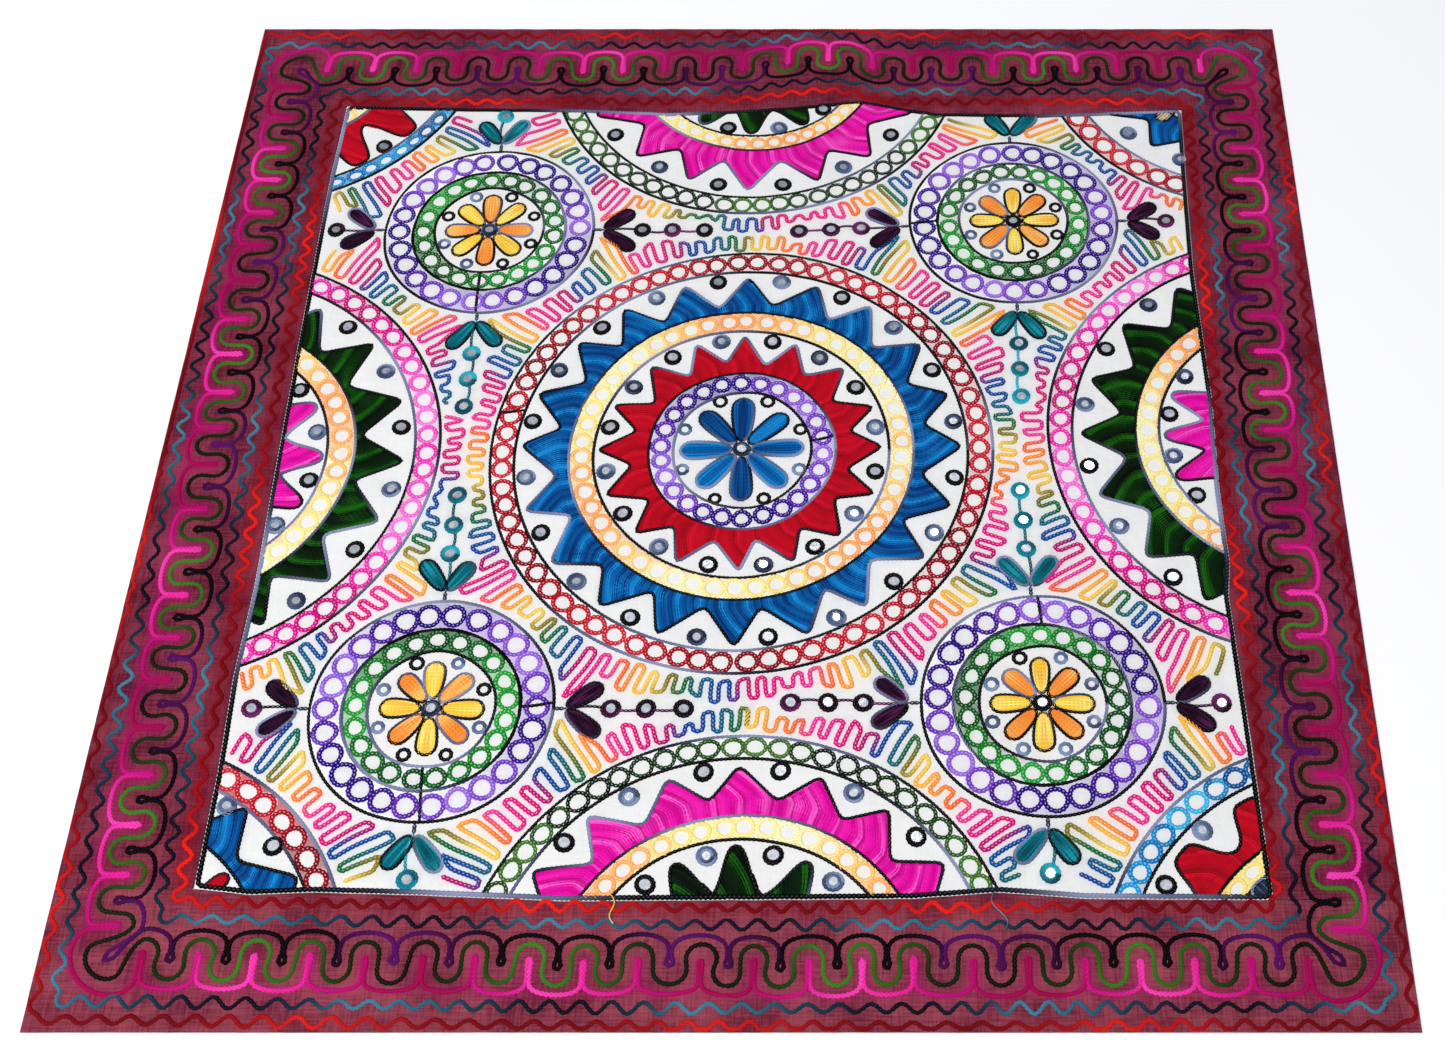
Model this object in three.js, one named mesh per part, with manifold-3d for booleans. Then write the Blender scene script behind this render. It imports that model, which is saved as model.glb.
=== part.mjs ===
// A square wall cloth of mirror work, lying flat and face up: an off-white cotton panel inside four
// strips of maroon cotton, with round mirrors sewn between the points of its star medallions.
// Millimetres. The underside lies on z = 0, x runs to the right and y towards the far edge.
import * as THREE from 'three';
import { mergeVertices } from 'three/addons/utils/BufferGeometryUtils.js';
import Module from 'manifold-3d';

const wasm = await Module();
wasm.setup();

// Driving sizes
const CLOTH_SIDE = 1016; // 40 inches
const HALF = CLOTH_SIDE / 2;
const PANEL_THICKNESS = 1.6;
const BORDER_THICKNESS = 1.5;
const PIECE_GAP = 0.3; // between two pieces that are sewn together
const OUTER_CORNER_CUT = 3; // the turned-in corner of the hem
const RING_RISE = 0.6; // rings of stitched circles, above the cotton
const FILL_RISE = 0.9; // stars, petals and leaves filled with stitches
const FILL_ROOT = 0.5; // how deep a raised shape starts inside the cotton
const FILL_MARGIN = 1.5; // from the panel's edge to the first raised shape
const MIRROR_RADIUS = 5.5;
const MIRROR_THICKNESS = 0.8;
const MIRROR_SIDES = 16;

// The panel's corners. The seams are as uneven as hand sewing: each row of a seam gives the distance
// along it from the cloth's middle line, and how far from the middle the seam runs there.
const CORNERS = {
  top_left: { x: -409, y: 402 },
  top_right: { x: 407, y: 397 },
  bottom_right: { x: 411, y: -408 },
  bottom_left: { x: -403, y: -399 },
};
const SEAMS = {
  top: [
    { along: -281, out: 399 },
    { along: -184, out: 398 },
    { along: -93, out: 393 },
    { along: -16, out: 397 },
    { along: 36, out: 402 },
    { along: 95, out: 409 },
    { along: 140, out: 398 },
    { along: 166, out: 393 },
    { along: 270, out: 391 },
  ],
  right: [
    { along: 294, out: 404 },
    { along: 197, out: 402 },
    { along: 54, out: 406 },
    { along: -43, out: 404 },
    { along: -114, out: 406 },
    { along: -146, out: 402 },
    { along: -270, out: 407 },
  ],
  bottom: [
    { along: 270, out: 407 },
    { along: 205, out: 402 },
    { along: 140, out: 407 },
    { along: -120, out: 409 },
    { along: -236, out: 404 },
    { along: -314, out: 402 },
    { along: -359, out: 404 },
  ],
  left: [
    { along: -302, out: 403 },
    { along: -218, out: 406 },
    { along: -140, out: 404 },
    { along: 119, out: 409 },
    { along: 314, out: 411 },
  ],
};

// Large medallions: the whole one at the middle, and those that the panel's edge cuts to a half or a
// quarter. A band without tips is a ring of stitched circles, and one with tips is a star.
const MEDALLIONS = {
  middle: { x: -6, y: -1, first_tip: 90 },
  top: { x: -10, y: 465, first_tip: 270 },
  bottom: { x: 10, y: -484, first_tip: 91 },
  left: { x: -485, y: -10, first_tip: 0 },
  right: { x: 477, y: 14, first_tip: 180 },
  top_left: { x: -487, y: 480, first_tip: -37 },
  top_right: { x: 475, y: 478, first_tip: 213 },
  bottom_left: { x: -485, y: -484, first_tip: 31 },
  bottom_right: { x: 479, y: -480, first_tip: 120 },
};
const BANDS = [
  { of: 'middle', outer: 217, inner: 196 },
  { of: 'middle', outer: 192, valley: 157, inner: 148, tips: 20 },
  { of: 'middle', outer: 149, inner: 128 },
  { of: 'middle', outer: 123, valley: 92, inner: 80, tips: 16 },
  { of: 'middle', outer: 81, inner: 60 },
  { of: 'top', outer: 200, inner: 180 },
  { of: 'top', outer: 171, valley: 137, inner: 120, tips: 17 },
  { of: 'top', outer: 121, inner: 103 },
  { of: 'bottom', outer: 211, inner: 192 },
  { of: 'bottom', outer: 187, valley: 156, inner: 143, tips: 19 },
  { of: 'bottom', outer: 144, inner: 125 },
  { of: 'left', outer: 217, inner: 196 },
  { of: 'left', outer: 189, valley: 153, inner: 143, tips: 18 },
  { of: 'left', outer: 144, inner: 121 },
  { of: 'right', outer: 217, inner: 196 },
  { of: 'right', outer: 189, valley: 153, inner: 140, tips: 18 },
  { of: 'right', outer: 141, inner: 120 },
  { of: 'top', outer: 98, valley: 74, inner: 58, tips: 12 },
  { of: 'bottom', outer: 115, valley: 88, inner: 64, tips: 14 },
  { of: 'left', outer: 115, valley: 88, inner: 68, tips: 14 },
  { of: 'right', outer: 113, valley: 86, inner: 62, tips: 16 },
  { of: 'top_left', outer: 203, inner: 187 },
  { of: 'top_left', outer: 184, valley: 145, inner: 131, tips: 20 },
  { of: 'top_left', outer: 131, inner: 116 },
  { of: 'top_right', outer: 205, inner: 182 },
  { of: 'top_right', outer: 163, valley: 137, inner: 117, tips: 19 },
  { of: 'bottom_left', outer: 207, inner: 186 },
  { of: 'bottom_left', outer: 186, valley: 155, inner: 147, tips: 16 },
  { of: 'bottom_right', outer: 202, inner: 182 },
  { of: 'bottom_right', outer: 176, valley: 146, inner: 133, tips: 17 },
  { of: 'bottom_right', outer: 133, inner: 116 },
];

// Filled petals of the large medallions, as rows: how many, the angle of the first and the step to
// the next, where they start and end from the medallion's middle, and how wide they are.
const PETALS = [
  { of: 'middle', count: 8, first: 0, step: 45, from: 8, to: 55, wide: 17 },
  { of: 'bottom_left', count: 1, first: 43, step: 0, from: 122, to: 145, wide: 11 },
];

// Small medallions between the large ones, each with two rings, a flower and four sprigs.
const SMALL = [
  { x: -252, y: 245 },
  { x: 238, y: 256 },
  { x: -243, y: -249 },
  { x: 244, y: -244 },
];
const SMALL_RINGS = [
  { outer: 97, inner: 71 },
  { outer: 71.5, inner: 51 },
];
const SMALL_PETALS = { count: 8, first: 0, step: 45, from: 10, to: 41, wide: 15 };
const SPRIG_DIRECTIONS = [0, 90, 180, 270];
const LEAF = { joint: 106, spread: 38, long: 36, wide: 14 };

// Mirrors that stand alone: between the tips of the middle medallion's stars, and at the hubs.
const MIRROR_ROUNDS = [
  { name: 'mirror_outer', tips: 20, radius: 186 },
  { name: 'mirror_inner', tips: 16, radius: 118 },
];

const degrees = THREE.MathUtils.degToRad;
const along = (from, angle, distance) => new THREE.Vector2(
  from.x + distance * Math.cos(degrees(angle)),
  from.y + distance * Math.sin(degrees(angle)),
);

const material = (color, roughness, metalness = 0) =>
  new THREE.MeshStandardMaterial({ color, roughness, metalness });
const OFF_WHITE_COTTON = material(0xece9e1, 0.92);
const MAROON_COTTON = material(0x7b2a44, 0.92);
const MIRROR_GLASS = material(0xc9cdd2, 0.12, 0.9);

// A closed slab from one flat outline, between two heights.
function slab(shape, bottom, top) {
  const geometry = new THREE.ExtrudeGeometry(shape, { depth: top - bottom, bevelEnabled: false });
  geometry.translate(0, 0, bottom);
  return geometry;
}

function toSolid(geometry) {
  const bare = geometry.clone();
  bare.deleteAttribute('normal');
  bare.deleteAttribute('uv');
  const merged = mergeVertices(bare, 1e-4);
  return new wasm.Manifold(new wasm.Mesh({
    numProp: 3,
    vertProperties: new Float32Array(merged.attributes.position.array),
    triVerts: new Uint32Array(merged.index.array),
  }));
}

function toGeometry(solid) {
  const mesh = solid.getMesh();
  const geometry = new THREE.BufferGeometry();
  geometry.setAttribute('position', new THREE.BufferAttribute(mesh.vertProperties, 3));
  geometry.setIndex(new THREE.BufferAttribute(mesh.triVerts, 1));
  geometry.computeVertexNormals();
  return geometry;
}

// The points of one seam from corner to corner, moved outwards by a distance.
const OUTWARD = {
  top: (row, move) => new THREE.Vector2(row.along, row.out + move),
  bottom: (row, move) => new THREE.Vector2(row.along, -row.out - move),
  left: (row, move) => new THREE.Vector2(-row.out - move, row.along),
  right: (row, move) => new THREE.Vector2(row.out + move, row.along),
};
const seam = (side, move = 0) => SEAMS[side].map((row) => OUTWARD[side](row, move));
const corner = (name, dx = 0, dy = 0) =>
  new THREE.Vector2(CORNERS[name].x + dx, CORNERS[name].y + dy);

// The panel's outline, clockwise from the far left corner. A positive inset draws it in all round.
function panelShape(inset = 0) {
  return new THREE.Shape([
    corner('top_left', inset, -inset),
    ...seam('top', -inset),
    corner('top_right', -inset, -inset),
    ...seam('right', -inset),
    corner('bottom_right', -inset, inset),
    ...seam('bottom', -inset),
    corner('bottom_left', inset, inset),
    ...seam('left', -inset),
  ]);
}

// A strip over the full width of the cloth. Its inner edge is the panel's seam, carried on straight
// over the ends of the two side strips.
function crossStrip(side, up, left, right) {
  const gap = up * PIECE_GAP;
  const leftToRight = seam(side, PIECE_GAP).sort((a, b) => a.x - b.x);
  return new THREE.Shape([
    new THREE.Vector2(-HALF, CORNERS[left].y + gap),
    corner(left, -PIECE_GAP, gap),
    ...leftToRight,
    corner(right, PIECE_GAP, gap),
    new THREE.Vector2(HALF, CORNERS[right].y + gap),
    new THREE.Vector2(HALF, up * (HALF - OUTER_CORNER_CUT)),
    new THREE.Vector2(HALF - OUTER_CORNER_CUT, up * HALF),
    new THREE.Vector2(-HALF + OUTER_CORNER_CUT, up * HALF),
    new THREE.Vector2(-HALF, up * (HALF - OUTER_CORNER_CUT)),
  ]);
}

// A strip between the two cross strips, sewn to the panel's left or right edge.
function sideStrip(side, right, top, bottom) {
  const outer = right * HALF;
  const gap = right * PIECE_GAP;
  const farToNear = seam(side, PIECE_GAP).sort((a, b) => b.y - a.y);
  return new THREE.Shape([
    new THREE.Vector2(outer, CORNERS[top].y),
    corner(top, gap, 0),
    ...farToNear,
    corner(bottom, gap, 0),
    new THREE.Vector2(outer, CORNERS[bottom].y),
  ]);
}

const segmentsFor = (radius) => Math.max(20, Math.round(radius / 4.5));

function roundPoints(middle, radius, steps) {
  const step = 360 / steps;
  return Array.from({ length: steps }, (_, i) => along(middle, i * step, radius));
}

// A star band: straight-sided points outside, a plain circle inside.
function starShape(middle, band, first) {
  const step = 180 / band.tips;
  const rim = Array.from({ length: band.tips * 2 }, (_, i) =>
    along(middle, first + i * step, i % 2 ? band.valley : band.outer));
  const shape = new THREE.Shape(rim);
  shape.holes.push(new THREE.Path(roundPoints(middle, band.inner, segmentsFor(band.inner))));
  return shape;
}

function circleBandShape(middle, band) {
  const shape = new THREE.Shape(roundPoints(middle, band.outer, segmentsFor(band.outer)));
  shape.holes.push(new THREE.Path(roundPoints(middle, band.inner, segmentsFor(band.inner))));
  return shape;
}

// A petal or leaf: narrow where it starts, widest past its middle, with a rounded tip.
function petalShape(middle, angle, from, to, wide) {
  const outline = [
    { share: 0, half: 0.12 },
    { share: 0.35, half: 0.72 },
    { share: 0.68, half: 1 },
    { share: 0.9, half: 0.66 },
    { share: 1, half: 0 },
  ];
  const side = (row, hand) => {
    const onAxis = along(middle, angle, from + row.share * (to - from));
    return along(onAxis, angle + 90, hand * row.half * wide / 2);
  };
  return new THREE.Shape([
    ...outline.map((row) => side(row, 1)),
    ...outline.slice(0, -1).reverse().map((row) => side(row, -1)),
  ]);
}

function raised(shape, rise) {
  return toSolid(slab(shape, PANEL_THICKNESS - FILL_ROOT, PANEL_THICKNESS + rise));
}

function raisedPetals(middle, row) {
  return Array.from({ length: row.count }, (_, i) =>
    raised(petalShape(middle, row.first + i * row.step, row.from, row.to, row.wide), FILL_RISE));
}

// Two leaves in a V at the end of a short stem, pointing away from the small medallion.
function sprigLeaves(middle, direction) {
  const joint = along(middle, direction, LEAF.joint);
  return [-1, 1].map((hand) =>
    raised(petalShape(joint, direction + hand * LEAF.spread, 2, LEAF.long, LEAF.wide), FILL_RISE));
}

// The panel with its embroidery: the raised shapes stop short of the panel's edge.
function panelGeometry() {
  const shapes = [];
  for (const band of BANDS) {
    const medallion = MEDALLIONS[band.of];
    shapes.push(band.tips
      ? raised(starShape(medallion, band, medallion.first_tip), FILL_RISE)
      : raised(circleBandShape(medallion, band), RING_RISE));
  }
  for (const row of PETALS) shapes.push(...raisedPetals(MEDALLIONS[row.of], row));
  for (const small of SMALL) {
    for (const ring of SMALL_RINGS) shapes.push(raised(circleBandShape(small, ring), RING_RISE));
    shapes.push(...raisedPetals(small, SMALL_PETALS));
    for (const direction of SPRIG_DIRECTIONS) shapes.push(...sprigLeaves(small, direction));
  }
  const room = toSolid(slab(panelShape(FILL_MARGIN), 0, PANEL_THICKNESS + FILL_RISE + 1));
  const embroidery = shapes.reduce((all, one) => all.add(one)).intersect(room);
  return toGeometry(toSolid(slab(panelShape(), 0, PANEL_THICKNESS)).add(embroidery));
}

function mirrorGeometry() {
  const disc = [MIRROR_RADIUS, MIRROR_RADIUS, MIRROR_THICKNESS, MIRROR_SIDES];
  return new THREE.CylinderGeometry(...disc).rotateX(Math.PI / 2);
}

const cloth = new THREE.Group();

function addPiece(name, geometry, look) {
  const piece = new THREE.Mesh(geometry, look);
  piece.name = name;
  cloth.add(piece);
  return piece;
}

function addMirror(name, place) {
  const mirror = addPiece(name, mirrorGeometry(), MIRROR_GLASS);
  mirror.position.set(place.x, place.y, PANEL_THICKNESS + PIECE_GAP + MIRROR_THICKNESS / 2);
}

addPiece('centre_panel', panelGeometry(), OFF_WHITE_COTTON);
const STRIPS = {
  border_top: crossStrip('top', 1, 'top_left', 'top_right'),
  border_bottom: crossStrip('bottom', -1, 'bottom_left', 'bottom_right'),
  border_left: sideStrip('left', -1, 'top_left', 'bottom_left'),
  border_right: sideStrip('right', 1, 'top_right', 'bottom_right'),
};
for (const [name, shape] of Object.entries(STRIPS)) {
  addPiece(name, slab(shape, 0, BORDER_THICKNESS), MAROON_COTTON);
}

for (const round of MIRROR_ROUNDS) {
  const step = 360 / round.tips;
  for (let i = 0; i < round.tips; i += 1) {
    const number = String(i + 1).padStart(2, '0');
    const angle = MEDALLIONS.middle.first_tip + (i + 0.5) * step;
    addMirror(`${round.name}_${number}`, along(MEDALLIONS.middle, angle, round.radius));
  }
}
addMirror('mirror_middle', MEDALLIONS.middle);
SMALL.forEach((small, i) => addMirror(`mirror_hub_${i + 1}`, small));

export default cloth;
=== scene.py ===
import math

import bpy
import numpy as np
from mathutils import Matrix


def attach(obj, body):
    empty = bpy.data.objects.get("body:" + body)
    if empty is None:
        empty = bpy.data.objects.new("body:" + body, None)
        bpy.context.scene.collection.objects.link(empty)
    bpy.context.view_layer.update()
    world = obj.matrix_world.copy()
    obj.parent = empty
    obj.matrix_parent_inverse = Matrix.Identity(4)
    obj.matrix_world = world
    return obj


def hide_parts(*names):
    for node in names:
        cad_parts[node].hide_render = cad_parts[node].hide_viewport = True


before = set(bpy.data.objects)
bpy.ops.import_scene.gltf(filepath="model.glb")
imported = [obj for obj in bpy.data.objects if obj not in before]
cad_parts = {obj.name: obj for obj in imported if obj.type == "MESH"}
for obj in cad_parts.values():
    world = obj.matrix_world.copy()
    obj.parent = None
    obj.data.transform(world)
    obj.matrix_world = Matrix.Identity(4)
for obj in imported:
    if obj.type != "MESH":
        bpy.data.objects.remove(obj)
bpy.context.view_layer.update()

scene = bpy.context.scene
scene.view_settings.view_transform = "Standard"

# The centre panel
# One square of off-white cotton in plain weave, cut by eye, so its seams wander by up to 8 mm. It lies
# pressed flat, with soft puckers between the stitches. Lengths are millimetres until a mesh is made.
MM = 0.001
HALF_SIDE = 508
COTTON_THICKNESS = 1.1
COTTON_REST = 1.5  # usual height of the cotton's face above the floor
COTTON_LOWEST = 0.15  # of its back
COTTON_CELL = 5.5  # between the points of its mesh
PANEL_WIDE = 815  # about, for the steps of its mesh
PANEL_DEEP = 800
SEAM_GAP = 0.3
# Each row: the distance along the seam from the cloth's middle line, and how far out the seam runs there.
SEAMS = {
    "top": [
        {"along": -409, "out": 402}, {"along": -281, "out": 399}, {"along": -184, "out": 398},
        {"along": -93, "out": 393}, {"along": -16, "out": 397}, {"along": 36, "out": 402},
        {"along": 95, "out": 409}, {"along": 140, "out": 398}, {"along": 166, "out": 393},
        {"along": 270, "out": 391}, {"along": 407, "out": 397},
    ],
    "bottom": [
        {"along": -403, "out": 399}, {"along": -359, "out": 404}, {"along": -314, "out": 402},
        {"along": -236, "out": 404}, {"along": -120, "out": 409}, {"along": 140, "out": 407},
        {"along": 205, "out": 402}, {"along": 270, "out": 407}, {"along": 411, "out": 408},
    ],
    "left": [
        {"along": -399, "out": 403}, {"along": -302, "out": 403}, {"along": -218, "out": 406},
        {"along": -140, "out": 404}, {"along": 119, "out": 409}, {"along": 314, "out": 411},
        {"along": 402, "out": 409},
    ],
    "right": [
        {"along": -408, "out": 411}, {"along": -270, "out": 407}, {"along": -146, "out": 402},
        {"along": -114, "out": 406}, {"along": -43, "out": 404}, {"along": 54, "out": 406},
        {"along": 197, "out": 402}, {"along": 294, "out": 404}, {"along": 397, "out": 407},
    ],
}
# Creases left by folding and pressing: along which line each runs, and how high it stands.
CREASES = [
    {"line": "x", "at": 3, "low": -508, "high": -404, "rise": 1.4},
    {"line": "x", "at": 128, "low": -508, "high": -404, "rise": 1.0},
    {"line": "x", "at": 409, "low": -508, "high": 60, "rise": 0.7},
    {"line": "x", "at": -27, "low": 395, "high": 508, "rise": 1.2},
    {"line": "x", "at": -250, "low": -508, "high": -404, "rise": 0.8},
    {"line": "x", "at": 262, "low": 395, "high": 508, "rise": 0.9},
    {"line": "y", "at": -402, "low": -508, "high": -400, "rise": 0.7},
    {"line": "y", "at": 14, "low": 405, "high": 508, "rise": 0.6},
    {"line": "y", "at": -6, "low": -508, "high": -405, "rise": 0.6},
    {"line": "y", "at": 222, "low": -508, "high": -405, "rise": 0.4},
]
CREASE_WIDTH = 2.2
CREASE_FADE = 8  # over which a crease dies out at each end
CREASE_WANDER = 1.5
PUCKER_RISE = 0.22
SWELL_RISE = 0.3


def out_at(rows, along):
    """How far out something runs at a place along it, from rows like those above."""
    return np.interp(along, [row["along"] for row in rows], [row["out"] for row in rows])


def seam_at(side, along):
    """How far from the cloth's middle a seam runs, at a place along it."""
    return out_at(SEAMS[side], along)


def room(x, y):
    """Distance from a place on the panel to the panel's nearest seam, negative outside it."""
    across = np.minimum(seam_at("top", x) - y, y + seam_at("bottom", x))
    aside = np.minimum(seam_at("right", y) - x, x + seam_at("left", y))
    return np.minimum(across, aside)


def cotton_face(x, y):
    """Height of the cotton's face above the floor: puckers 40 mm long, swells 250 mm long, creases."""
    puckers = PUCKER_RISE * np.sin(x / 6.1 + 1.4 * np.sin(y / 17))
    puckers = puckers * np.sin(y / 7.3 + 1.2 * np.sin(x / 23))
    swells = SWELL_RISE * np.sin(x / 41 + 0.8 * np.sin(y / 67)) * np.cos(y / 37 + 0.6)
    height = COTTON_REST + puckers + swells
    for crease in CREASES:
        here, other = (x, y) if crease["line"] == "x" else (y, x)
        begun = np.clip((other - crease["low"]) / CREASE_FADE, 0, 1)
        inside = begun * np.clip((crease["high"] - other) / CREASE_FADE, 0, 1)
        wander = CREASE_WANDER * np.sin(other / 19)
        shape = np.exp(-((here - crease["at"] - wander) / CREASE_WIDTH) ** 2)
        height = height + crease["rise"] * inside * shape
    return height


def make_mesh(name, points, faces, material, uv=None, dye=None):
    """A smooth mesh object from rows of points in millimetres and rows of four point numbers."""
    mesh = bpy.data.meshes.new(name)
    mesh.vertices.add(len(points))
    mesh.vertices.foreach_set("co", (points * MM).astype(np.float32).ravel())
    mesh.loops.add(faces.size)
    mesh.loops.foreach_set("vertex_index", faces.astype(np.int32).ravel())
    mesh.polygons.add(len(faces))
    mesh.polygons.foreach_set("loop_start", np.arange(0, faces.size, faces.shape[1], dtype=np.int32))
    mesh.polygons.foreach_set("use_smooth", np.ones(len(faces), dtype=bool))
    if uv is not None:
        layer = mesh.uv_layers.new(name="stitch")
        layer.data.foreach_set("uv", uv[faces.ravel()].astype(np.float32).ravel())
    if dye is not None:
        colours = mesh.color_attributes.new(name="dye", type="FLOAT_COLOR", domain="POINT")
        colours.data.foreach_set("color", dye.astype(np.float32).ravel())
    mesh.materials.append(material)
    mesh.update(calc_edges=True)
    piece = bpy.data.objects.new(name, mesh)
    scene.collection.objects.link(piece)
    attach(piece, "root")
    return piece


def grid_faces(rows, columns, first=0):
    """Four-sided faces over a grid of points that is stored row by row."""
    corner = (np.arange(rows - 1)[:, None] * columns + np.arange(columns - 1)[None, :]).ravel() + first
    return np.column_stack([corner, corner + 1, corner + columns + 1, corner + columns])


EDGE_STEPS = (0.5, 1.6)  # where the short steps of a rounded edge end
EDGE_DROPS = ((1, 0.12), (0, 0.45))  # how far the face goes down, by steps in from the edge


def sheet_steps(length, cell):
    """Even steps from 0 to 1 with two short ones at each end, for the rounded edge of the cotton."""
    first, second = EDGE_STEPS[0] / length, EDGE_STEPS[1] / length
    inner = np.linspace(second, 1 - second, max(3, int(length / cell)))
    return np.concatenate([[0, first], inner, [1 - first, 1]])


def cotton_sheet(name, places, material):
    """A closed thin sheet over a grid of places. Its edges are rounded down."""
    rows, columns = places.shape[:2]
    x, y = places[..., 0], places[..., 1]
    face = cotton_face(x, y)
    edge_drop = np.zeros((rows, columns))
    for step, drop in EDGE_DROPS:
        edge_drop[[step, rows - 1 - step], :] = drop
        edge_drop[:, [step, columns - 1 - step]] = drop
    back = np.maximum(face - COTTON_THICKNESS, COTTON_LOWEST) + 0.5 * edge_drop
    top = np.dstack([x, y, face - edge_drop]).reshape(-1, 3)
    under = np.dstack([x, y, back]).reshape(-1, 3)
    top_faces = grid_faces(rows, columns)
    under_faces = grid_faces(rows, columns, rows * columns)[:, ::-1]
    number = np.arange(rows * columns).reshape(rows, columns)
    rim = np.concatenate([number[0, :], number[1:, -1], number[-1, -2::-1], number[-2:0:-1, 0]])
    following = np.roll(rim, -1)
    below = rows * columns
    rim_faces = np.column_stack([rim, rim + below, following + below, following])
    points = np.vstack([top, under])
    undyed = np.zeros((len(points), 4))
    return make_mesh(name, points, np.vstack([top_faces, under_faces, rim_faces]), material, dye=undyed)


def new_group(name, inputs, outputs):
    """An empty shader node group with named sockets."""
    group = bpy.data.node_groups.new(name, "ShaderNodeTree")
    for label, kind in inputs:
        group.interface.new_socket(label, in_out="INPUT", socket_type=kind)
    for label, kind in outputs:
        group.interface.new_socket(label, in_out="OUTPUT", socket_type=kind)
    return group, group.nodes.new("NodeGroupInput"), group.nodes.new("NodeGroupOutput")


def feed(tree, value, socket):
    """Links an output to a socket, or sets the socket to a number."""
    if isinstance(value, bpy.types.NodeSocket):
        tree.links.new(value, socket)
    else:
        socket.default_value = value


def maths(tree, operation, a, b=0.0, c=0.0, clamp=False):
    """The output of one Math node."""
    node = tree.nodes.new("ShaderNodeMath")
    node.operation = operation
    node.use_clamp = clamp
    for value, socket in zip((a, b, c), node.inputs):
        feed(tree, value, socket)
    return node.outputs[0]


def blend_of(tree, share, a, b, blend="MIX"):
    """The output of one colour Mix node."""
    node = tree.nodes.new("ShaderNodeMix")
    node.data_type = "RGBA"
    node.blend_type = blend
    feed(tree, share, node.inputs["Factor"])
    feed(tree, a, node.inputs["A"])
    feed(tree, b, node.inputs["B"])
    return node.outputs["Result"]


def stretched_noise(tree, place, stretch, scale, detail=2.0):
    """Noise whose grain is drawn out along one direction."""
    mapping = tree.nodes.new("ShaderNodeMapping")
    mapping.inputs["Scale"].default_value = stretch
    tree.links.new(place, mapping.inputs["Vector"])
    noise = tree.nodes.new("ShaderNodeTexNoise")
    noise.inputs["Scale"].default_value = scale
    noise.inputs["Detail"].default_value = detail
    tree.links.new(mapping.outputs[0], noise.inputs["Vector"])
    return noise.outputs["Fac"]


def new_material(name):
    """A new material, its node tree and its surface shader."""
    material = bpy.data.materials.new(name)
    material.use_nodes = True
    return material, material.node_tree, material.node_tree.nodes["Principled BSDF"]


def bump_of(tree, height, strength, distance, under=None):
    """The normal from one Bump node, laid over another normal where there is one."""
    bump = tree.nodes.new("ShaderNodeBump")
    bump.inputs["Strength"].default_value = strength
    bump.inputs["Distance"].default_value = distance
    tree.links.new(height, bump.inputs["Height"])
    if under is not None:
        tree.links.new(under, bump.inputs["Normal"])
    return bump.outputs[0]


def plain_weave_group():
    """Warp and weft crossing over and under, with slubs: their relief, and a light and dark tone."""
    tree, inner, outer = new_group(
        "plain_weave",
        [("Place", "NodeSocketVector"), ("Threads per metre", "NodeSocketFloat")],
        [("Relief", "NodeSocketFloat"), ("Tone", "NodeSocketFloat"), ("Blotch", "NodeSocketFloat")],
    )
    place = inner.outputs["Place"]
    split = tree.nodes.new("ShaderNodeSeparateXYZ")
    tree.links.new(place, split.inputs[0])
    turns = maths(tree, "MULTIPLY", inner.outputs["Threads per metre"], math.pi)
    warp = maths(tree, "SINE", maths(tree, "MULTIPLY", split.outputs["X"], turns))
    weft = maths(tree, "SINE", maths(tree, "MULTIPLY", split.outputs["Y"], turns))
    over = maths(tree, "MULTIPLY_ADD", maths(tree, "MULTIPLY", warp, weft), 0.5, 0.5)
    on_warp = maths(tree, "MULTIPLY", maths(tree, "ABSOLUTE", warp), over)
    on_weft = maths(tree, "MULTIPLY", maths(tree, "ABSOLUTE", weft), maths(tree, "SUBTRACT", 1.0, over))
    tree.links.new(maths(tree, "ADD", on_warp, on_weft), outer.inputs["Relief"])
    along_x = stretched_noise(tree, place, (0.06, 1, 1), 700)
    along_y = stretched_noise(tree, place, (1, 0.06, 1), 700)
    tone = maths(tree, "MULTIPLY", maths(tree, "ADD", along_x, along_y), 0.5)
    tree.links.new(tone, outer.inputs["Tone"])
    tree.links.new(stretched_noise(tree, place, (1, 1, 1), 24, 4.0), outer.inputs["Blotch"])
    return tree


def dye_colour(code):
    """A dye's colour from its six-figure code, as linear light."""
    parts = [int(code[i : i + 2], 16) / 255 for i in (0, 2, 4)]
    return [p / 12.92 if p <= 0.04045 else ((p + 0.055) / 1.055) ** 2.4 for p in parts] + [1.0]


PLAIN_WEAVE = plain_weave_group()
MATT = 0.06  # specular level of cotton and yarn


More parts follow.
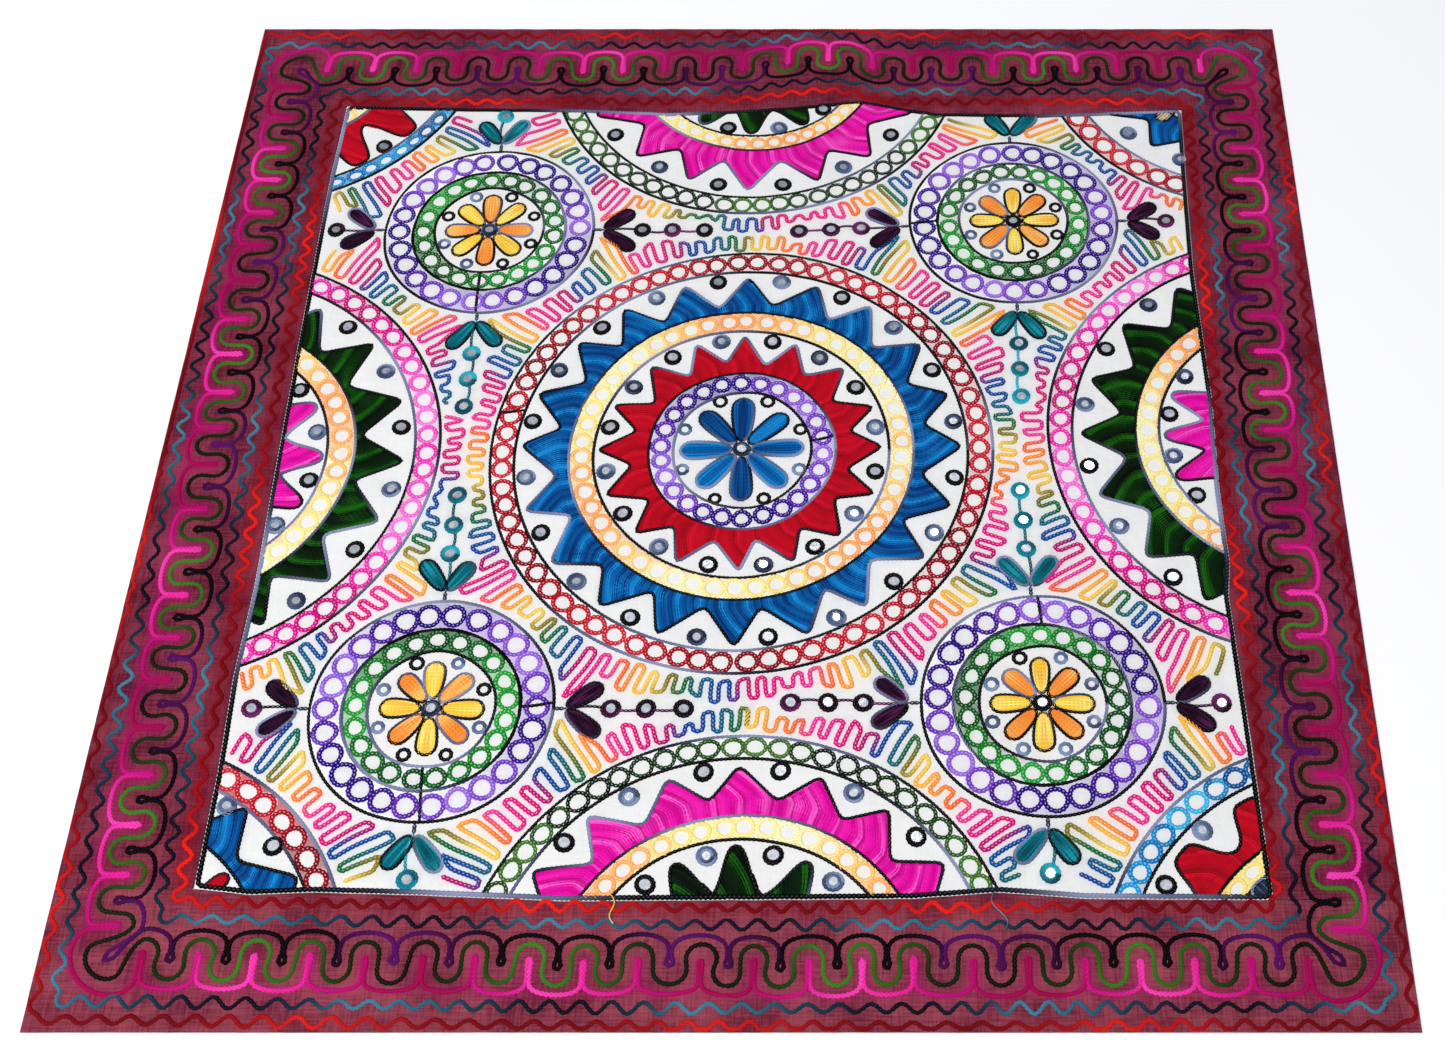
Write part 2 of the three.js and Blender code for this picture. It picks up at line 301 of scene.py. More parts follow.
def cotton_material(name, light, dark, slub, blotch, threads_per_metre):
    """Matt plain-woven cotton between two shades, tinted where the yarn has bled into it."""
    material, tree, shader = new_material(name)
    place = tree.nodes.new("ShaderNodeTexCoord")
    weave = tree.nodes.new("ShaderNodeGroup")
    weave.node_tree = PLAIN_WEAVE
    weave.inputs["Threads per metre"].default_value = threads_per_metre
    tree.links.new(place.outputs["Object"], weave.inputs["Place"])
    slubs = maths(tree, "MULTIPLY_ADD", maths(tree, "SUBTRACT", weave.outputs["Tone"], 0.5), slub, 0.5)
    spread = maths(tree, "MULTIPLY", maths(tree, "SUBTRACT", weave.outputs["Blotch"], 0.5), blotch)
    shade = maths(tree, "ADD", slubs, spread, clamp=True)
    colour = blend_of(tree, shade, dye_colour(dark), dye_colour(light))
    bled = tree.nodes.new("ShaderNodeVertexColor")
    bled.layer_name = "dye"
    uneven = maths(tree, "MULTIPLY_ADD", weave.outputs["Tone"], 0.8, 0.6)
    strength = maths(tree, "MULTIPLY", bled.outputs["Alpha"], uneven, clamp=True)
    tree.links.new(blend_of(tree, strength, colour, bled.outputs["Color"]), shader.inputs["Base Color"])
    rough = maths(tree, "MULTIPLY_ADD", weave.outputs["Tone"], -0.15, 0.95)
    tree.links.new(rough, shader.inputs["Roughness"])
    wrinkles = stretched_noise(tree, place.outputs["Object"], (1, 1, 1), 95, 3.0)
    creased = bump_of(tree, wrinkles, strength=0.6, distance=0.0016)
    woven = bump_of(tree, weave.outputs["Relief"], strength=0.35, distance=0.00012, under=creased)
    tree.links.new(woven, shader.inputs["Normal"])
    shader.inputs["Specular IOR Level"].default_value = MATT
    return material


def panel_places():
    """Places over the panel, blended between its four seams, from the near left corner."""
    across, away = sheet_steps(PANEL_WIDE, COTTON_CELL), sheet_steps(PANEL_DEEP, COTTON_CELL)
    left, right = SEAMS["left"], SEAMS["right"]
    top_x = np.interp(across, [0, 1], [-left[-1]["out"], right[-1]["out"]])
    low_x = np.interp(across, [0, 1], [-left[0]["out"], right[0]["out"]])
    left_y = np.interp(away, [0, 1], [left[0]["along"], left[-1]["along"]])
    right_y = np.interp(away, [0, 1], [right[0]["along"], right[-1]["along"]])
    top = np.column_stack([top_x, seam_at("top", top_x)])
    low = np.column_stack([low_x, -seam_at("bottom", low_x)])
    near_left = np.column_stack([-seam_at("left", left_y), left_y])
    near_right = np.column_stack([seam_at("right", right_y), right_y])
    u, v = across[None, :, None], away[:, None, None]
    between = (1 - v) * low[None] + v * top[None] + (1 - u) * near_left[:, None] + u * near_right[:, None]
    corners = (1 - v) * ((1 - u) * low[0] + u * low[-1]) + v * ((1 - u) * top[0] + u * top[-1])
    return between - corners


panel_cotton = cotton_material(
    "panel_cotton", light="F5F5F3", dark="DDDDDB", slub=0.9, blotch=0.7, threads_per_metre=2000
)
centre_panel = cotton_sheet("cotton_panel", panel_places(), panel_cotton)
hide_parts("centre_panel")

# The border strips
# Four strips of maroon cotton, a coarser and slubbier plain weave. The far and near strips run the whole
# width, the two side strips butt between them, and all four are sewn to the panel along its seams. The
# near strip has a paler copy of the cotton, painted light for the brighter light on the near side.
MAROON_WEAVE = {"slub": 2.8, "blotch": 2.2, "threads_per_metre": 1500}
maroon_cotton = cotton_material("maroon_cotton", light="8A394A", dark="54142A", **MAROON_WEAVE)
# A paler copy of the maroon cotton for the near strip: painted light, not a different cloth.
lit_near_maroon_cotton = cotton_material("lit_near_maroon_cotton", light="984654", dark="641F33", **MAROON_WEAVE)
STRIP_DEEP = 100
STRIP_ROWS = 16


def strip_places(inner, outer):
    """Places between a strip's sewn edge and its outer edge."""
    share = sheet_steps(STRIP_DEEP, STRIP_DEEP / STRIP_ROWS)[:, None, None]
    return (1 - share) * inner[None] + share * outer[None]


def cross_strip(side, up):
    """The far strip (up is 1) or the near strip (up is -1)."""
    x = (sheet_steps(2 * HALF_SIDE, COTTON_CELL) * 2 - 1) * HALF_SIDE
    inner = np.column_stack([x, up * (seam_at(side, x) + SEAM_GAP)])
    outer = np.column_stack([x, np.full_like(x, up * HALF_SIDE)])
    places = strip_places(inner, outer)
    return places if up > 0 else places[::-1]


def side_strip(side, right):
    """The right strip (right is 1) or the left strip (right is -1)."""
    low, high = SEAMS[side][0]["along"], SEAMS[side][-1]["along"]
    y = low + sheet_steps(high - low, COTTON_CELL) * (high - low)
    inner = np.column_stack([right * (seam_at(side, y) + SEAM_GAP), y])
    outer = np.column_stack([np.full_like(y, right * HALF_SIDE), y])
    places = strip_places(inner, outer).transpose(1, 0, 2)
    return places if right > 0 else places[:, ::-1]


strip_shapes = {
    "border_top": cross_strip("top", 1),
    "border_bottom": cross_strip("bottom", -1),
    "border_left": side_strip("left", -1),
    "border_right": side_strip("right", 1),
}
strips = {}
for node, places in strip_shapes.items():
    # The near strip takes the paler copy of the cotton, which is painted light.
    cotton = lit_near_maroon_cotton if node == "border_bottom" else maroon_cotton
    strips[node] = cotton_sheet("cotton_" + node, places, cotton)
    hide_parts(node)

# The threads
# Heavy soft-twisted yarn, dyed in lengths of changing colour, worked with a hook into chain stitch: each
# loop comes out of the one before, and the cotton shows through it. Each row: the colours along the
# yarn, the length of yarn after which they repeat, how readily its dye has bled into the cotton, and
# the colour of that stain where it isn't the yarn's own.
THREADS = {
    "edge_red": {"colours": "E0362E C82A2C 9A1424 8A1022 8A1022 AC1A26", "repeat": 340, "bleed": 0.5,
                 "stain": "6E0C1A"},
    "teal_navy": {"colours": "5C98AE 3E8096 1C5468 10263E 0E1A2E 1A485C", "repeat": 300, "bleed": 0},
    "pink": {"colours": "FC5CC4 F03CAE CC1C8C B80E6C B40C66 D82498", "repeat": 465, "bleed": 1.3,
             "stain": "A00A5C"},
    "green": {"colours": "58963A 487C2C 1C3A1A 102410 264C1C", "repeat": 455, "bleed": 0},
    "black_purple": {"colours": "0C0410 10060F 160418 72207A 5A165C", "repeat": 420, "bleed": 0},
    "seam_red": {"colours": "F03A2C D82C2A 9E1224 8C0C20 8E0E22 B01824", "repeat": 380, "bleed": 2,
                 "stain": "7C0C1C"},
    "outline": {"colours": "050509 050509 08080E 0A0A14 787E9A A2A8C4 2A2C3E", "repeat": 480, "bleed": 0},
    "ground": {
        "colours": "C81C88 E01C90 E82898 EC34A0 F252AC FA8648 FCA852 FCCA5C FCDC74 9C9028 "
        "0C8454 087A98 0868AC 0A5CAC", "repeat": 500, "bleed": 0.5,
    },
    "ring_red": {"colours": "CC1C3A D83C50 B41030 9A0A24", "repeat": 700, "bleed": 0.1},
    "ring_yellow": {"colours": "FFF4AC FFEE9A FFC27C FFB46C FFDC8C FFFAC8", "repeat": 900, "bleed": 0.3},
    "ring_purple": {"colours": "561EA0 864CCA B286E6 9058CE 4A169A 3E1092", "repeat": 640, "bleed": 0.4},
    "ring_green": {"colours": "109030 30B44C 0C7A30 0A642A", "repeat": 560, "bleed": 0.3},
    "ring_olive": {"colours": "1C461A 0C2C12 5A9232 265A20", "repeat": 640, "bleed": 0.05},
    "ring_pink": {"colours": "E81EA8 D00E8A F23EC0 FC98E6 F660D0", "repeat": 760, "bleed": 0.4},
    "ring_blue": {"colours": "0688C2 1CB2E6 046AA6 52CAEE", "repeat": 560, "bleed": 0.3},
    "blue": {"colours": "0C72B0 064480 0A78B8 2CA0DC 0A74B4 08508E", "repeat": 520, "bleed": 0.4},
    "red": {"colours": "D01236 C20E30 AA0A28 DC1E40 C41034", "repeat": 520, "bleed": 0},
    "magenta": {"colours": "F21EBC F63AC0 D00C9A FC78D8 EE1CB4 D80EA2", "repeat": 520, "bleed": 0},
    "deep_green": {"colours": "0A300A 041206 2C7A1C 0A380C", "repeat": 520, "bleed": 0},
    "orange": {"colours": "FBB060 FDCE80 F8A04C", "repeat": 60, "bleed": 0.2},
    "gold": {"colours": "FCDE5C FDEE94 FBC85C", "repeat": 70, "bleed": 0.2},
    "leaf_teal": {"colours": "107E8E 086270 30AAB6 127E8A", "repeat": 90, "bleed": 0.5},
    "leaf_plum": {"colours": "220A24 4C1A46 14061A 6A3062", "repeat": 70, "bleed": 0.2},
    "stem_teal": {"colours": "0A6C7C 1098A8 40C6D6 0A5E6E", "repeat": 150, "bleed": 0.4},
    "stem_plum": {"colours": "240824 54184C 843C7A 1A061A", "repeat": 110, "bleed": 0.2},
    "ring_dark": {"colours": "040408 0A0A12 040408", "repeat": 60, "bleed": 0},
    "ring_grey": {"colours": "6C7E9E 9CABC6 4E5E7C", "repeat": 60, "bleed": 0.1},
    "ring_steel": {"colours": "3C4862 64728E 2A344C", "repeat": 60, "bleed": 0.1},
}
LINK = 3.6  # length of one loop of the chain
# Cross-sections, from one edge to the other. In a lone line the two sides of a loop are high and the
# middle is low, but where two loops meet the middle is high too. Rows of filling are plain ridges.
SECTIONS = {
    "line": {"across": (1, 0.56, 0, -0.56, -1), "open": (0, 1, 0.45, 1, 0), "closed": (0, 0.7, 0.95, 0.7, 0)},
    "row": {"across": (1, 0, -1), "open": (0, 1, 0), "closed": (0, 0.8, 0)},
}
JOINT_WIDTH = 0.74  # of the width in the middle of a loop
SUNK = 0.15  # how far the edge of a stitch goes into the cotton


def yarn(thread, distance):
    """The yarn's colour at each distance along it."""
    colours = np.array([dye_colour(code) for code in THREADS[thread]["colours"].split()])
    place = np.mod(np.asarray(distance) / THREADS[thread]["repeat"], 1) * len(colours)
    first = np.floor(place).astype(int) % len(colours)
    share = (place - np.floor(place))[:, None]
    share = share * share * (3 - 2 * share)
    return colours[first] * (1 - share) + colours[(first + 1) % len(colours)] * share


def lengths_along(points):
    """How far each point of a route is from its first one, along it."""
    return np.concatenate([[0], np.cumsum(np.hypot(*np.diff(points, axis=0).T))])


def spaced(points, step, closed=False):
    """The same route with an even number of equal steps, each about one step long."""
    route = np.vstack([points, points[:1]]) if closed else points
    along = lengths_along(route)
    count = max(2, 2 * round(along[-1] / step / 2))
    places = np.linspace(0, along[-1], count + 1)
    even = np.column_stack([np.interp(places, along, route[:, i]) for i in (0, 1)])
    return even[:-1] if closed else even


def softened(points, passes, closed=False):
    """The same route with its corners rounded."""
    for _ in range(passes):
        if closed:
            points = (np.roll(points, 1, axis=0) + 2 * points + np.roll(points, -1, axis=0)) / 4
        else:
            middle = (points[:-2] + 2 * points[1:-1] + points[2:]) / 4
            points = np.vstack([points[:1], middle, points[-1:]])
    return points


def stitched(
    route, thread, width=2.2, height=1.0, start=0.0, closed=False, lift=0.0, link=LINK, section="line"
):
    """One line of chain stitch, ready to be sewn. Start: how far along the yarn it begins."""
    return {
        "route": np.asarray(route, dtype=float), "thread": thread, "width": width, "height": height,
        "start": start, "closed": closed, "lift": lift, "link": link, "section": section,
    }


def line_mesh(line):
    """Points, faces, stitch coordinates and dye of one line, as a ribbon with a loop every link."""
    closed = line["closed"]
    section = SECTIONS[line["section"]]
    across, open_loop, closed_loop = (np.array(section[part]) for part in ("across", "open", "closed"))
    columns = len(across)
    route = spaced(line["route"], line["link"] / 2, closed)
    count = len(route)
    if closed:
        ahead = np.roll(route, -1, axis=0) - np.roll(route, 1, axis=0)
    else:
        ahead = np.gradient(route, axis=0)
    ahead /= np.maximum(np.hypot(ahead[:, 0], ahead[:, 1]), 1e-6)[:, None]
    aside = np.column_stack([-ahead[:, 1], ahead[:, 0]])
    is_open = (np.arange(count) % 2)[:, None]
    half = line["width"] / 2 * (is_open + JOINT_WIDTH * (1 - is_open))
    if not closed:
        half[[0, -1]] *= 0.5
    rise = line["height"] * (is_open * open_loop + (1 - is_open) * closed_loop)
    x = route[:, :1] + aside[:, :1] * half * across
    y = route[:, 1:] + aside[:, 1:] * half * across
    middle = cotton_face(route[:, 0], route[:, 1])[:, None]
    z = middle - SUNK + line["lift"] + rise
    points = np.stack([x, y, z], axis=2).reshape(-1, 3)
    turns = np.arange(count) / 2
    sideways = np.broadcast_to((1 - across) / 2, x.shape)
    stitch = np.stack([sideways, np.broadcast_to(turns[:, None], x.shape)], axis=2)
    dye = np.repeat(yarn(line["thread"], line["start"] + turns * line["link"]), columns, axis=0)
    faces = grid_faces(count, columns)
    if closed:
        first = np.arange(columns - 1)
        last = (count - 1) * columns + first
        faces = np.vstack([faces, np.column_stack([last, last + 1, first + 1, first])])
    return points, faces, stitch.reshape(-1, 2), dye


HOLE_WIDE = 0.24  # of half a loop's width
HOLE_LONG = 0.22  # of a loop's length
PLY_TURNS = 22.0  # radians of the yarn's twist in one loop
PLY_SLANT = 9.0  # and over half its width
YARN_DEPTH = 1.3  # gamma that deepens the dye between the fibres


def chain_stitch_group():
    """One loop of chain stitch for each unit of the stitch coordinates: its colour, with painted light and
    shade along the ply's twist and painted shade where loops meet, and its relief.
    """
    tree, inner, outer = new_group(
        "chain_stitch",
        [
            ("Stitch", "NodeSocketVector"), ("Yarn", "NodeSocketColor"), ("Cotton and shade below", "NodeSocketColor"),
            ("Openness", "NodeSocketFloat"), ("Place", "NodeSocketVector"),
        ],
        [("Colour", "NodeSocketColor"), ("Relief", "NodeSocketFloat"), ("Roughness", "NodeSocketFloat")],
    )
    split = tree.nodes.new("ShaderNodeSeparateXYZ")
    tree.links.new(inner.outputs["Stitch"], split.inputs[0])
    row = maths(tree, "FRACT", split.outputs["X"])
    across = maths(tree, "ABSOLUTE", maths(tree, "MULTIPLY_ADD", row, 2.0, -1.0))
    along = maths(tree, "SUBTRACT", maths(tree, "FRACT", split.outputs["Y"]), 0.5)
    wide = maths(tree, "POWER", maths(tree, "DIVIDE", across, HOLE_WIDE), 2.0)
    from_middle = maths(tree, "ABSOLUTE", along)
    long = maths(tree, "POWER", maths(tree, "DIVIDE", from_middle, HOLE_LONG), 2.0)
    hole = maths(tree, "SUBTRACT", 1.2, maths(tree, "ADD", wide, long), clamp=True)
    slant = maths(tree, "MULTIPLY", across, PLY_SLANT)
    ply_turn = maths(tree, "MULTIPLY_ADD", split.outputs["Y"], PLY_TURNS, slant)
    ply = maths(tree, "MULTIPLY_ADD", maths(tree, "SINE", ply_turn), 0.5, 0.5)
    seen = maths(tree, "MULTIPLY", hole, inner.outputs["Openness"])
    fibres = stretched_noise(tree, inner.outputs["Place"], (1, 1, 1), 900, 2.0)
    # Painted light and shade in stripes along the twist of the plies.
    twisted = maths(tree, "MULTIPLY_ADD", ply, 0.16, 0.73)
    shade = maths(tree, "ADD", twisted, maths(tree, "MULTIPLY", fibres, 0.36))
    # Painted shade at the ends of each loop, where it meets the next, deepest towards its sides.
    join = maths(tree, "MULTIPLY", maths(tree, "MULTIPLY", from_middle, across), 2.0)
    join_shade = maths(tree, "MULTIPLY_ADD", maths(tree, "POWER", join, 2.0), -0.5, 1.0)
    dark = maths(tree, "MULTIPLY", shade, join_shade)
    grey = tree.nodes.new("ShaderNodeCombineColor")
    for channel in grey.inputs:
        tree.links.new(dark, channel)
    deep = tree.nodes.new("ShaderNodeGamma")
    deep.inputs["Gamma"].default_value = YARN_DEPTH
    tree.links.new(inner.outputs["Yarn"], deep.inputs["Color"])
    # The dyed yarn darkened by the painted shade above.
    shaded_yarn = blend_of(tree, 1.0, deep.outputs["Color"], grey.outputs[0], "MULTIPLY")
    colour = blend_of(tree, seen, shaded_yarn, inner.outputs["Cotton and shade below"])
    tree.links.new(colour, outer.inputs["Colour"])
    raised = maths(tree, "ADD", maths(tree, "MULTIPLY", ply, 0.35), maths(tree, "SUBTRACT", 1.0, hole))
    tree.links.new(raised, outer.inputs["Relief"])
    tree.links.new(maths(tree, "MULTIPLY_ADD", fibres, 0.3, 0.42), outer.inputs["Roughness"])
    return tree


CHAIN_STITCH = chain_stitch_group()


def yarn_material(name, below, openness, relief=0.0004):
    """Dyed yarn in chain stitch. The colour below shows through its loops by their openness: the cotton,
    darkened where painted shade fills the loop's hollow.
    """
    material, tree, shader = new_material(name)
    stitch = tree.nodes.new("ShaderNodeUVMap")
    stitch.uv_map = "stitch"
    dye = tree.nodes.new("ShaderNodeVertexColor")
    dye.layer_name = "dye"
    place = tree.nodes.new("ShaderNodeTexCoord")
    chain = tree.nodes.new("ShaderNodeGroup")
    chain.node_tree = CHAIN_STITCH
    chain.inputs["Cotton and shade below"].default_value = dye_colour(below)
    chain.inputs["Openness"].default_value = openness
    tree.links.new(stitch.outputs["UV"], chain.inputs["Stitch"])
    tree.links.new(dye.outputs["Color"], chain.inputs["Yarn"])
    tree.links.new(place.outputs["Object"], chain.inputs["Place"])
    tree.links.new(chain.outputs["Colour"], shader.inputs["Base Color"])
    tree.links.new(chain.outputs["Roughness"], shader.inputs["Roughness"])
    twist = bump_of(tree, chain.outputs["Relief"], strength=0.5, distance=relief)
    tree.links.new(twist, shader.inputs["Normal"])
    shader.inputs["Specular IOR Level"].default_value = MATT
    return material


# What shows through the loops: near-white cotton under lone lines on the panel, and darker grey, maroon and
# near black elsewhere, which is painted shade in the hollows of dense lines and between rows of filling.
yarn_on_white = yarn_material("yarn_on_white", below="F2EEEE", openness=0.5)
yarn_dense = yarn_material("yarn_dense", below="B8B4B8", openness=0.16)
yarn_on_maroon = yarn_material("yarn_on_maroon", below="5E1C30", openness=0.45)
black_on_maroon = yarn_material("black_on_maroon", below="4A1428", openness=0.2)
yarn_filling = yarn_material("yarn_filling", below="202020", openness=0.08, relief=0.0003)
SEWN = {"panel": [], "border": []}  # every line that is sewn on each cloth


def joined(parts):
    """Several meshes as one: their points, their faces numbered on, and whatever else they carry."""
    points, faces, *others = zip(*parts)
    counts = np.cumsum([0] + [len(rows) for rows in points])
    faces = np.vstack([rows + first for rows, first in zip(faces, counts)])
    return np.vstack(points), faces, *(np.vstack(rows) for rows in others)


def sew(name, lines, material, cloth="panel"):
    """Sews a list of lines on the panel or on the border, as one piece."""
    SEWN[cloth] += lines
    points, faces, stitch, dye = joined([line_mesh(line) for line in lines])
    piece = make_mesh(name, points, faces, material, stitch, dye)
    return piece


def on_circle(middle, radius, angle):
    """A place, or places, at an angle in degrees round a middle."""
    turn = np.radians(angle)
    return np.stack([middle[0] + radius * np.cos(turn), middle[1] + radius * np.sin(turn)], axis=-1)


SEAM_MARGIN = 2.2
CUT_STEP = 1.2
FEWEST_STEPS = 3  # in a stretch that is kept


def clipped(line, margin=SEAM_MARGIN):
    """The stretches of a line that lie on the panel, at least a margin from its seams."""
    route = spaced(line["route"], CUT_STEP, line["closed"])
    inside = room(route[:, 0], route[:, 1]) > margin
    if inside.all():
        return [line]
    if line["closed"] and inside.any():
        shift = int(np.argmin(inside))
        route, inside = np.roll(route, -shift, axis=0), np.roll(inside, -shift)
    edges = np.flatnonzero(np.diff(np.concatenate([[False], inside, [False]]).astype(int)))
    pieces = []
    for first, last in zip(edges[::2], edges[1::2]):
        if last - first > FEWEST_STEPS:
            start = line["start"] + CUT_STEP * first
            pieces.append({**line, "route": route[first:last], "closed": False, "start": start})
    return pieces


def on_panel(lines, margin=SEAM_MARGIN):
    """The parts of several lines that lie on the panel."""
    return [piece for line in lines for piece in clipped(line, margin)]


# The medallions' rings
# Each large medallion has rings of small stitched circles between two outlines, the gaps filled with the
# same yarn. The middle one is whole, and the panel's edge cuts the others to halves and quarters.
MEDALLIONS = {
    "middle": (-6, -1),
    "top": (-10, 465), "bottom": (10, -484), "left": (-485, -10), "right": (477, 14),
    "top_left": (-487, 480), "top_right": (475, 478),
    "bottom_left": (-485, -484), "bottom_right": (479, -480),
    "small_1": (-252, 245), "small_2": (238, 256), "small_3": (-243, -249), "small_4": (244, -244),
}
GROUPS = {
    "middle": ["middle"],
    "halves": ["top", "bottom", "left", "right"],
    "corners": ["top_left", "top_right", "bottom_left", "bottom_right"],
    "small": ["small_1", "small_2", "small_3", "small_4"],
}
# fill: how much of the gaps' yarn shows at its palest and at its fullest place round the ring.
RINGS = [
    {"of": "middle", "outer": 217, "inner": 196, "circles": 70, "thread": "ring_red", "fill": (0.0, 0.3)},
    {"of": "middle", "outer": 149, "inner": 128, "circles": 50, "thread": "ring_yellow", "fill": (0.35, 0.7)},
    {"of": "middle", "outer": 81, "inner": 60, "circles": 26, "thread": "ring_purple", "fill": (0.05, 0.6)},
    {"of": "top", "outer": 200, "inner": 180, "circles": 66, "thread": "ring_olive", "fill": (0.0, 0.1)},
    {"of": "top", "outer": 121, "inner": 103, "circles": 44, "thread": "ring_yellow", "fill": (0.35, 0.7)},
    {"of": "bottom", "outer": 211, "inner": 192, "circles": 69, "thread": "ring_olive", "fill": (0.0, 0.1)},
    {"of": "bottom", "outer": 144, "inner": 125, "circles": 50, "thread": "ring_yellow", "fill": (0.35, 0.7)},
    {"of": "left", "outer": 217, "inner": 196, "circles": 68, "thread": "ring_pink", "fill": (0.3, 0.95)},
    {"of": "left", "outer": 144, "inner": 121, "circles": 46, "thread": "ring_yellow", "fill": (0.35, 0.7)},
    {"of": "right", "outer": 217, "inner": 196, "circles": 68, "thread": "ring_pink", "fill": (0.3, 0.95)},
    {"of": "right", "outer": 141, "inner": 120, "circles": 46, "thread": "ring_yellow", "fill": (0.35, 0.7)},
    {"of": "top_left", "outer": 203, "inner": 187, "circles": 72, "thread": "ring_blue", "fill": (0.3, 0.8)},
    {"of": "top_left", "outer": 131, "inner": 116, "circles": 50, "thread": "ring_yellow",
     "fill": (0.9, 1.0)},
    {"of": "top_right", "outer": 205, "inner": 182, "circles": 58, "thread": "ring_red",
     "fill": (0.05, 0.45)},
    {"of": "bottom_left", "outer": 207, "inner": 186, "circles": 62, "thread": "ring_red",
     "fill": (0.1, 0.8)},
    {"of": "bottom_right", "outer": 202, "inner": 182, "circles": 64, "thread": "ring_blue",
     "fill": (0.2, 0.7)},
    {"of": "bottom_right", "outer": 133, "inner": 116, "circles": 44, "thread": "ring_yellow",
     "fill": (0.9, 1.0)},
]
for of in GROUPS["small"]:
    RINGS += [
        {"of": of, "outer": 97, "inner": 71, "circles": 26, "thread": "ring_purple", "fill": (0.0, 0.45)},
        {"of": of, "outer": 71, "inner": 51, "circles": 21, "thread": "ring_green", "fill": (0.0, 0.8)},
    ]
OUTLINE_WIDTH = 3.5
CIRCLE_LINE = {"ring_yellow": 4.6, "ring_olive": 4.2}  # width of the circles' stitches
USUAL_CIRCLE_LINE = 5.0
CIRCLE_STEPS = 24
CIRCLE_LINK = 3.4
MOST_OVAL = 1.12  # a circle's longer half as a share of its shorter one, at most


def ring_circles(ring, random):
    """A ring's small circles, no two quite alike: each one's angle, half its depth and half its width."""
    count = ring["circles"]
    step = 360 / count
    angles = random.uniform(0, step) + step * (np.arange(count) + random.uniform(-0.07, 0.07, count))
    middle = (ring["outer"] + ring["inner"]) / 2
    depth = (ring["outer"] - ring["inner"]) / 2 * random.uniform(0.92, 1.0, count)
    width = math.pi * middle / count * random.uniform(0.95, 1.04, count)
    return {
        "angle": angles,
        "depth": np.minimum(depth, width * MOST_OVAL),
        "width": np.minimum(width, depth * MOST_OVAL),
    }


def circle_lines(ring, circles, start, random):
    """The stitched circles of one ring."""
    middle = (ring["outer"] + ring["inner"]) / 2
    line_width = CIRCLE_LINE.get(ring["thread"], USUAL_CIRCLE_LINE)
    turn = np.arange(CIRCLE_STEPS) * 360 / CIRCLE_STEPS
    around = np.radians(turn)
    lines = []
    for angle, depth, width in zip(circles["angle"], circles["depth"], circles["width"]):
        egg = 1 + 0.05 * np.cos(around - random.uniform(0, 6.3))
        egg = egg + 0.03 * np.cos(3 * around - random.uniform(0, 6.3))
        out = middle + (depth - 0.45 * line_width) * np.cos(around) * egg + random.uniform(-0.4, 0.4)
        aside = (width - 0.2 * line_width) * np.sin(around) * egg
        route = on_circle(MEDALLIONS[ring["of"]], out, angle + np.degrees(aside / middle))
        lines.append(
            stitched(route, ring["thread"], line_width, 1.2, start, closed=True, link=CIRCLE_LINK)
        )
        start += math.pi * (depth + width)
    return lines


def ring_outlines(ring, random):
    """The two lines that bound a ring."""
    lines = []
    for radius in (ring["outer"], ring["inner"]):
        angle = np.arange(0, 360, 1.5)
        waver = 0.5 * np.sin(np.radians(angle * 5 + random.uniform(0, 360)))
        route = on_circle(MEDALLIONS[ring["of"]], radius + waver, angle)
        lines.append(stitched(route, "outline", OUTLINE_WIDTH, 1.3, random.uniform(0, 400), closed=True))
    return lines


FILLING_MARGIN = 2.6  # from the panel's seams
FILLING_SEAT = 0.25  # its edges above the cotton
FILLING_CROWN = 0.45  # its middle above its edges
FILLING_PITCH = 2.4  # from row to row of its stitches
FILLING_LINK = 3.4
FILLING_YARN = 3  # length of yarn in each millimetre of it
PALE_FILLING = "FFFFFF"  # where the yarn has run out to white


def polar_strip(middle, angles, low, high, across, thread, fill, start):
    """A padded strip of filling between two distances from a middle, as points, faces, stitch, dye."""
    share = np.linspace(0, 1, across)
    radius = low[:, None] + (high - low)[:, None] * share
    places = on_circle(middle, radius, angles[:, None])
    crown = np.sin(np.pi * share)
    z = cotton_face(places[..., 0], places[..., 1]) - SUNK + FILLING_SEAT + FILLING_CROWN * crown
    points = np.dstack([places, z]).reshape(-1, 3)
    travelled = np.radians(angles - angles[0]) * (low + high) / 2
    links = np.broadcast_to(travelled[:, None] / FILLING_LINK, radius.shape)
    stitch = np.dstack([radius / FILLING_PITCH, links]).reshape(-1, 2)
    pure = yarn(thread, start + travelled * FILLING_YARN)
    dye = pure * fill[:, None] + np.array(dye_colour(PALE_FILLING)) * (1 - fill[:, None])
    faces = grid_faces(len(angles), across)[:, ::-1]
    return points, faces, stitch, np.repeat(dye, across, axis=0)


def within_seams(points, margin):
    """The same points, with those past the panel's seams moved in to a margin from them."""
    x, y, z = points.T
    x = np.clip(x, margin - seam_at("left", y), seam_at("right", y) - margin)
    y = np.clip(y, margin - seam_at("bottom", x), seam_at("top", x) - margin)
    return np.column_stack([x, y, z])


def join_fillings(name, parts):
    """Joins strips of filling as one piece, cut off at the panel's seams."""
    points, faces, stitch, dye = joined(parts)
    inside = room(points[:, 0], points[:, 1]) > FILLING_MARGIN
    faces = faces[inside[faces].any(axis=1)]
    points = within_seams(points, FILLING_MARGIN)
    used = np.unique(faces)
    renumbered = np.full(len(points), -1)
    renumbered[used] = np.arange(len(used))
    piece = make_mesh(name, points[used], renumbered[faces], yarn_filling, stitch[used], dye[used])
    return piece


FILLING_STEPS = 10  # of a strip past each circle
LEAST_FILLING = 0.3
UNDER_OUTLINE = 0.4  # from an outline's middle to the filling


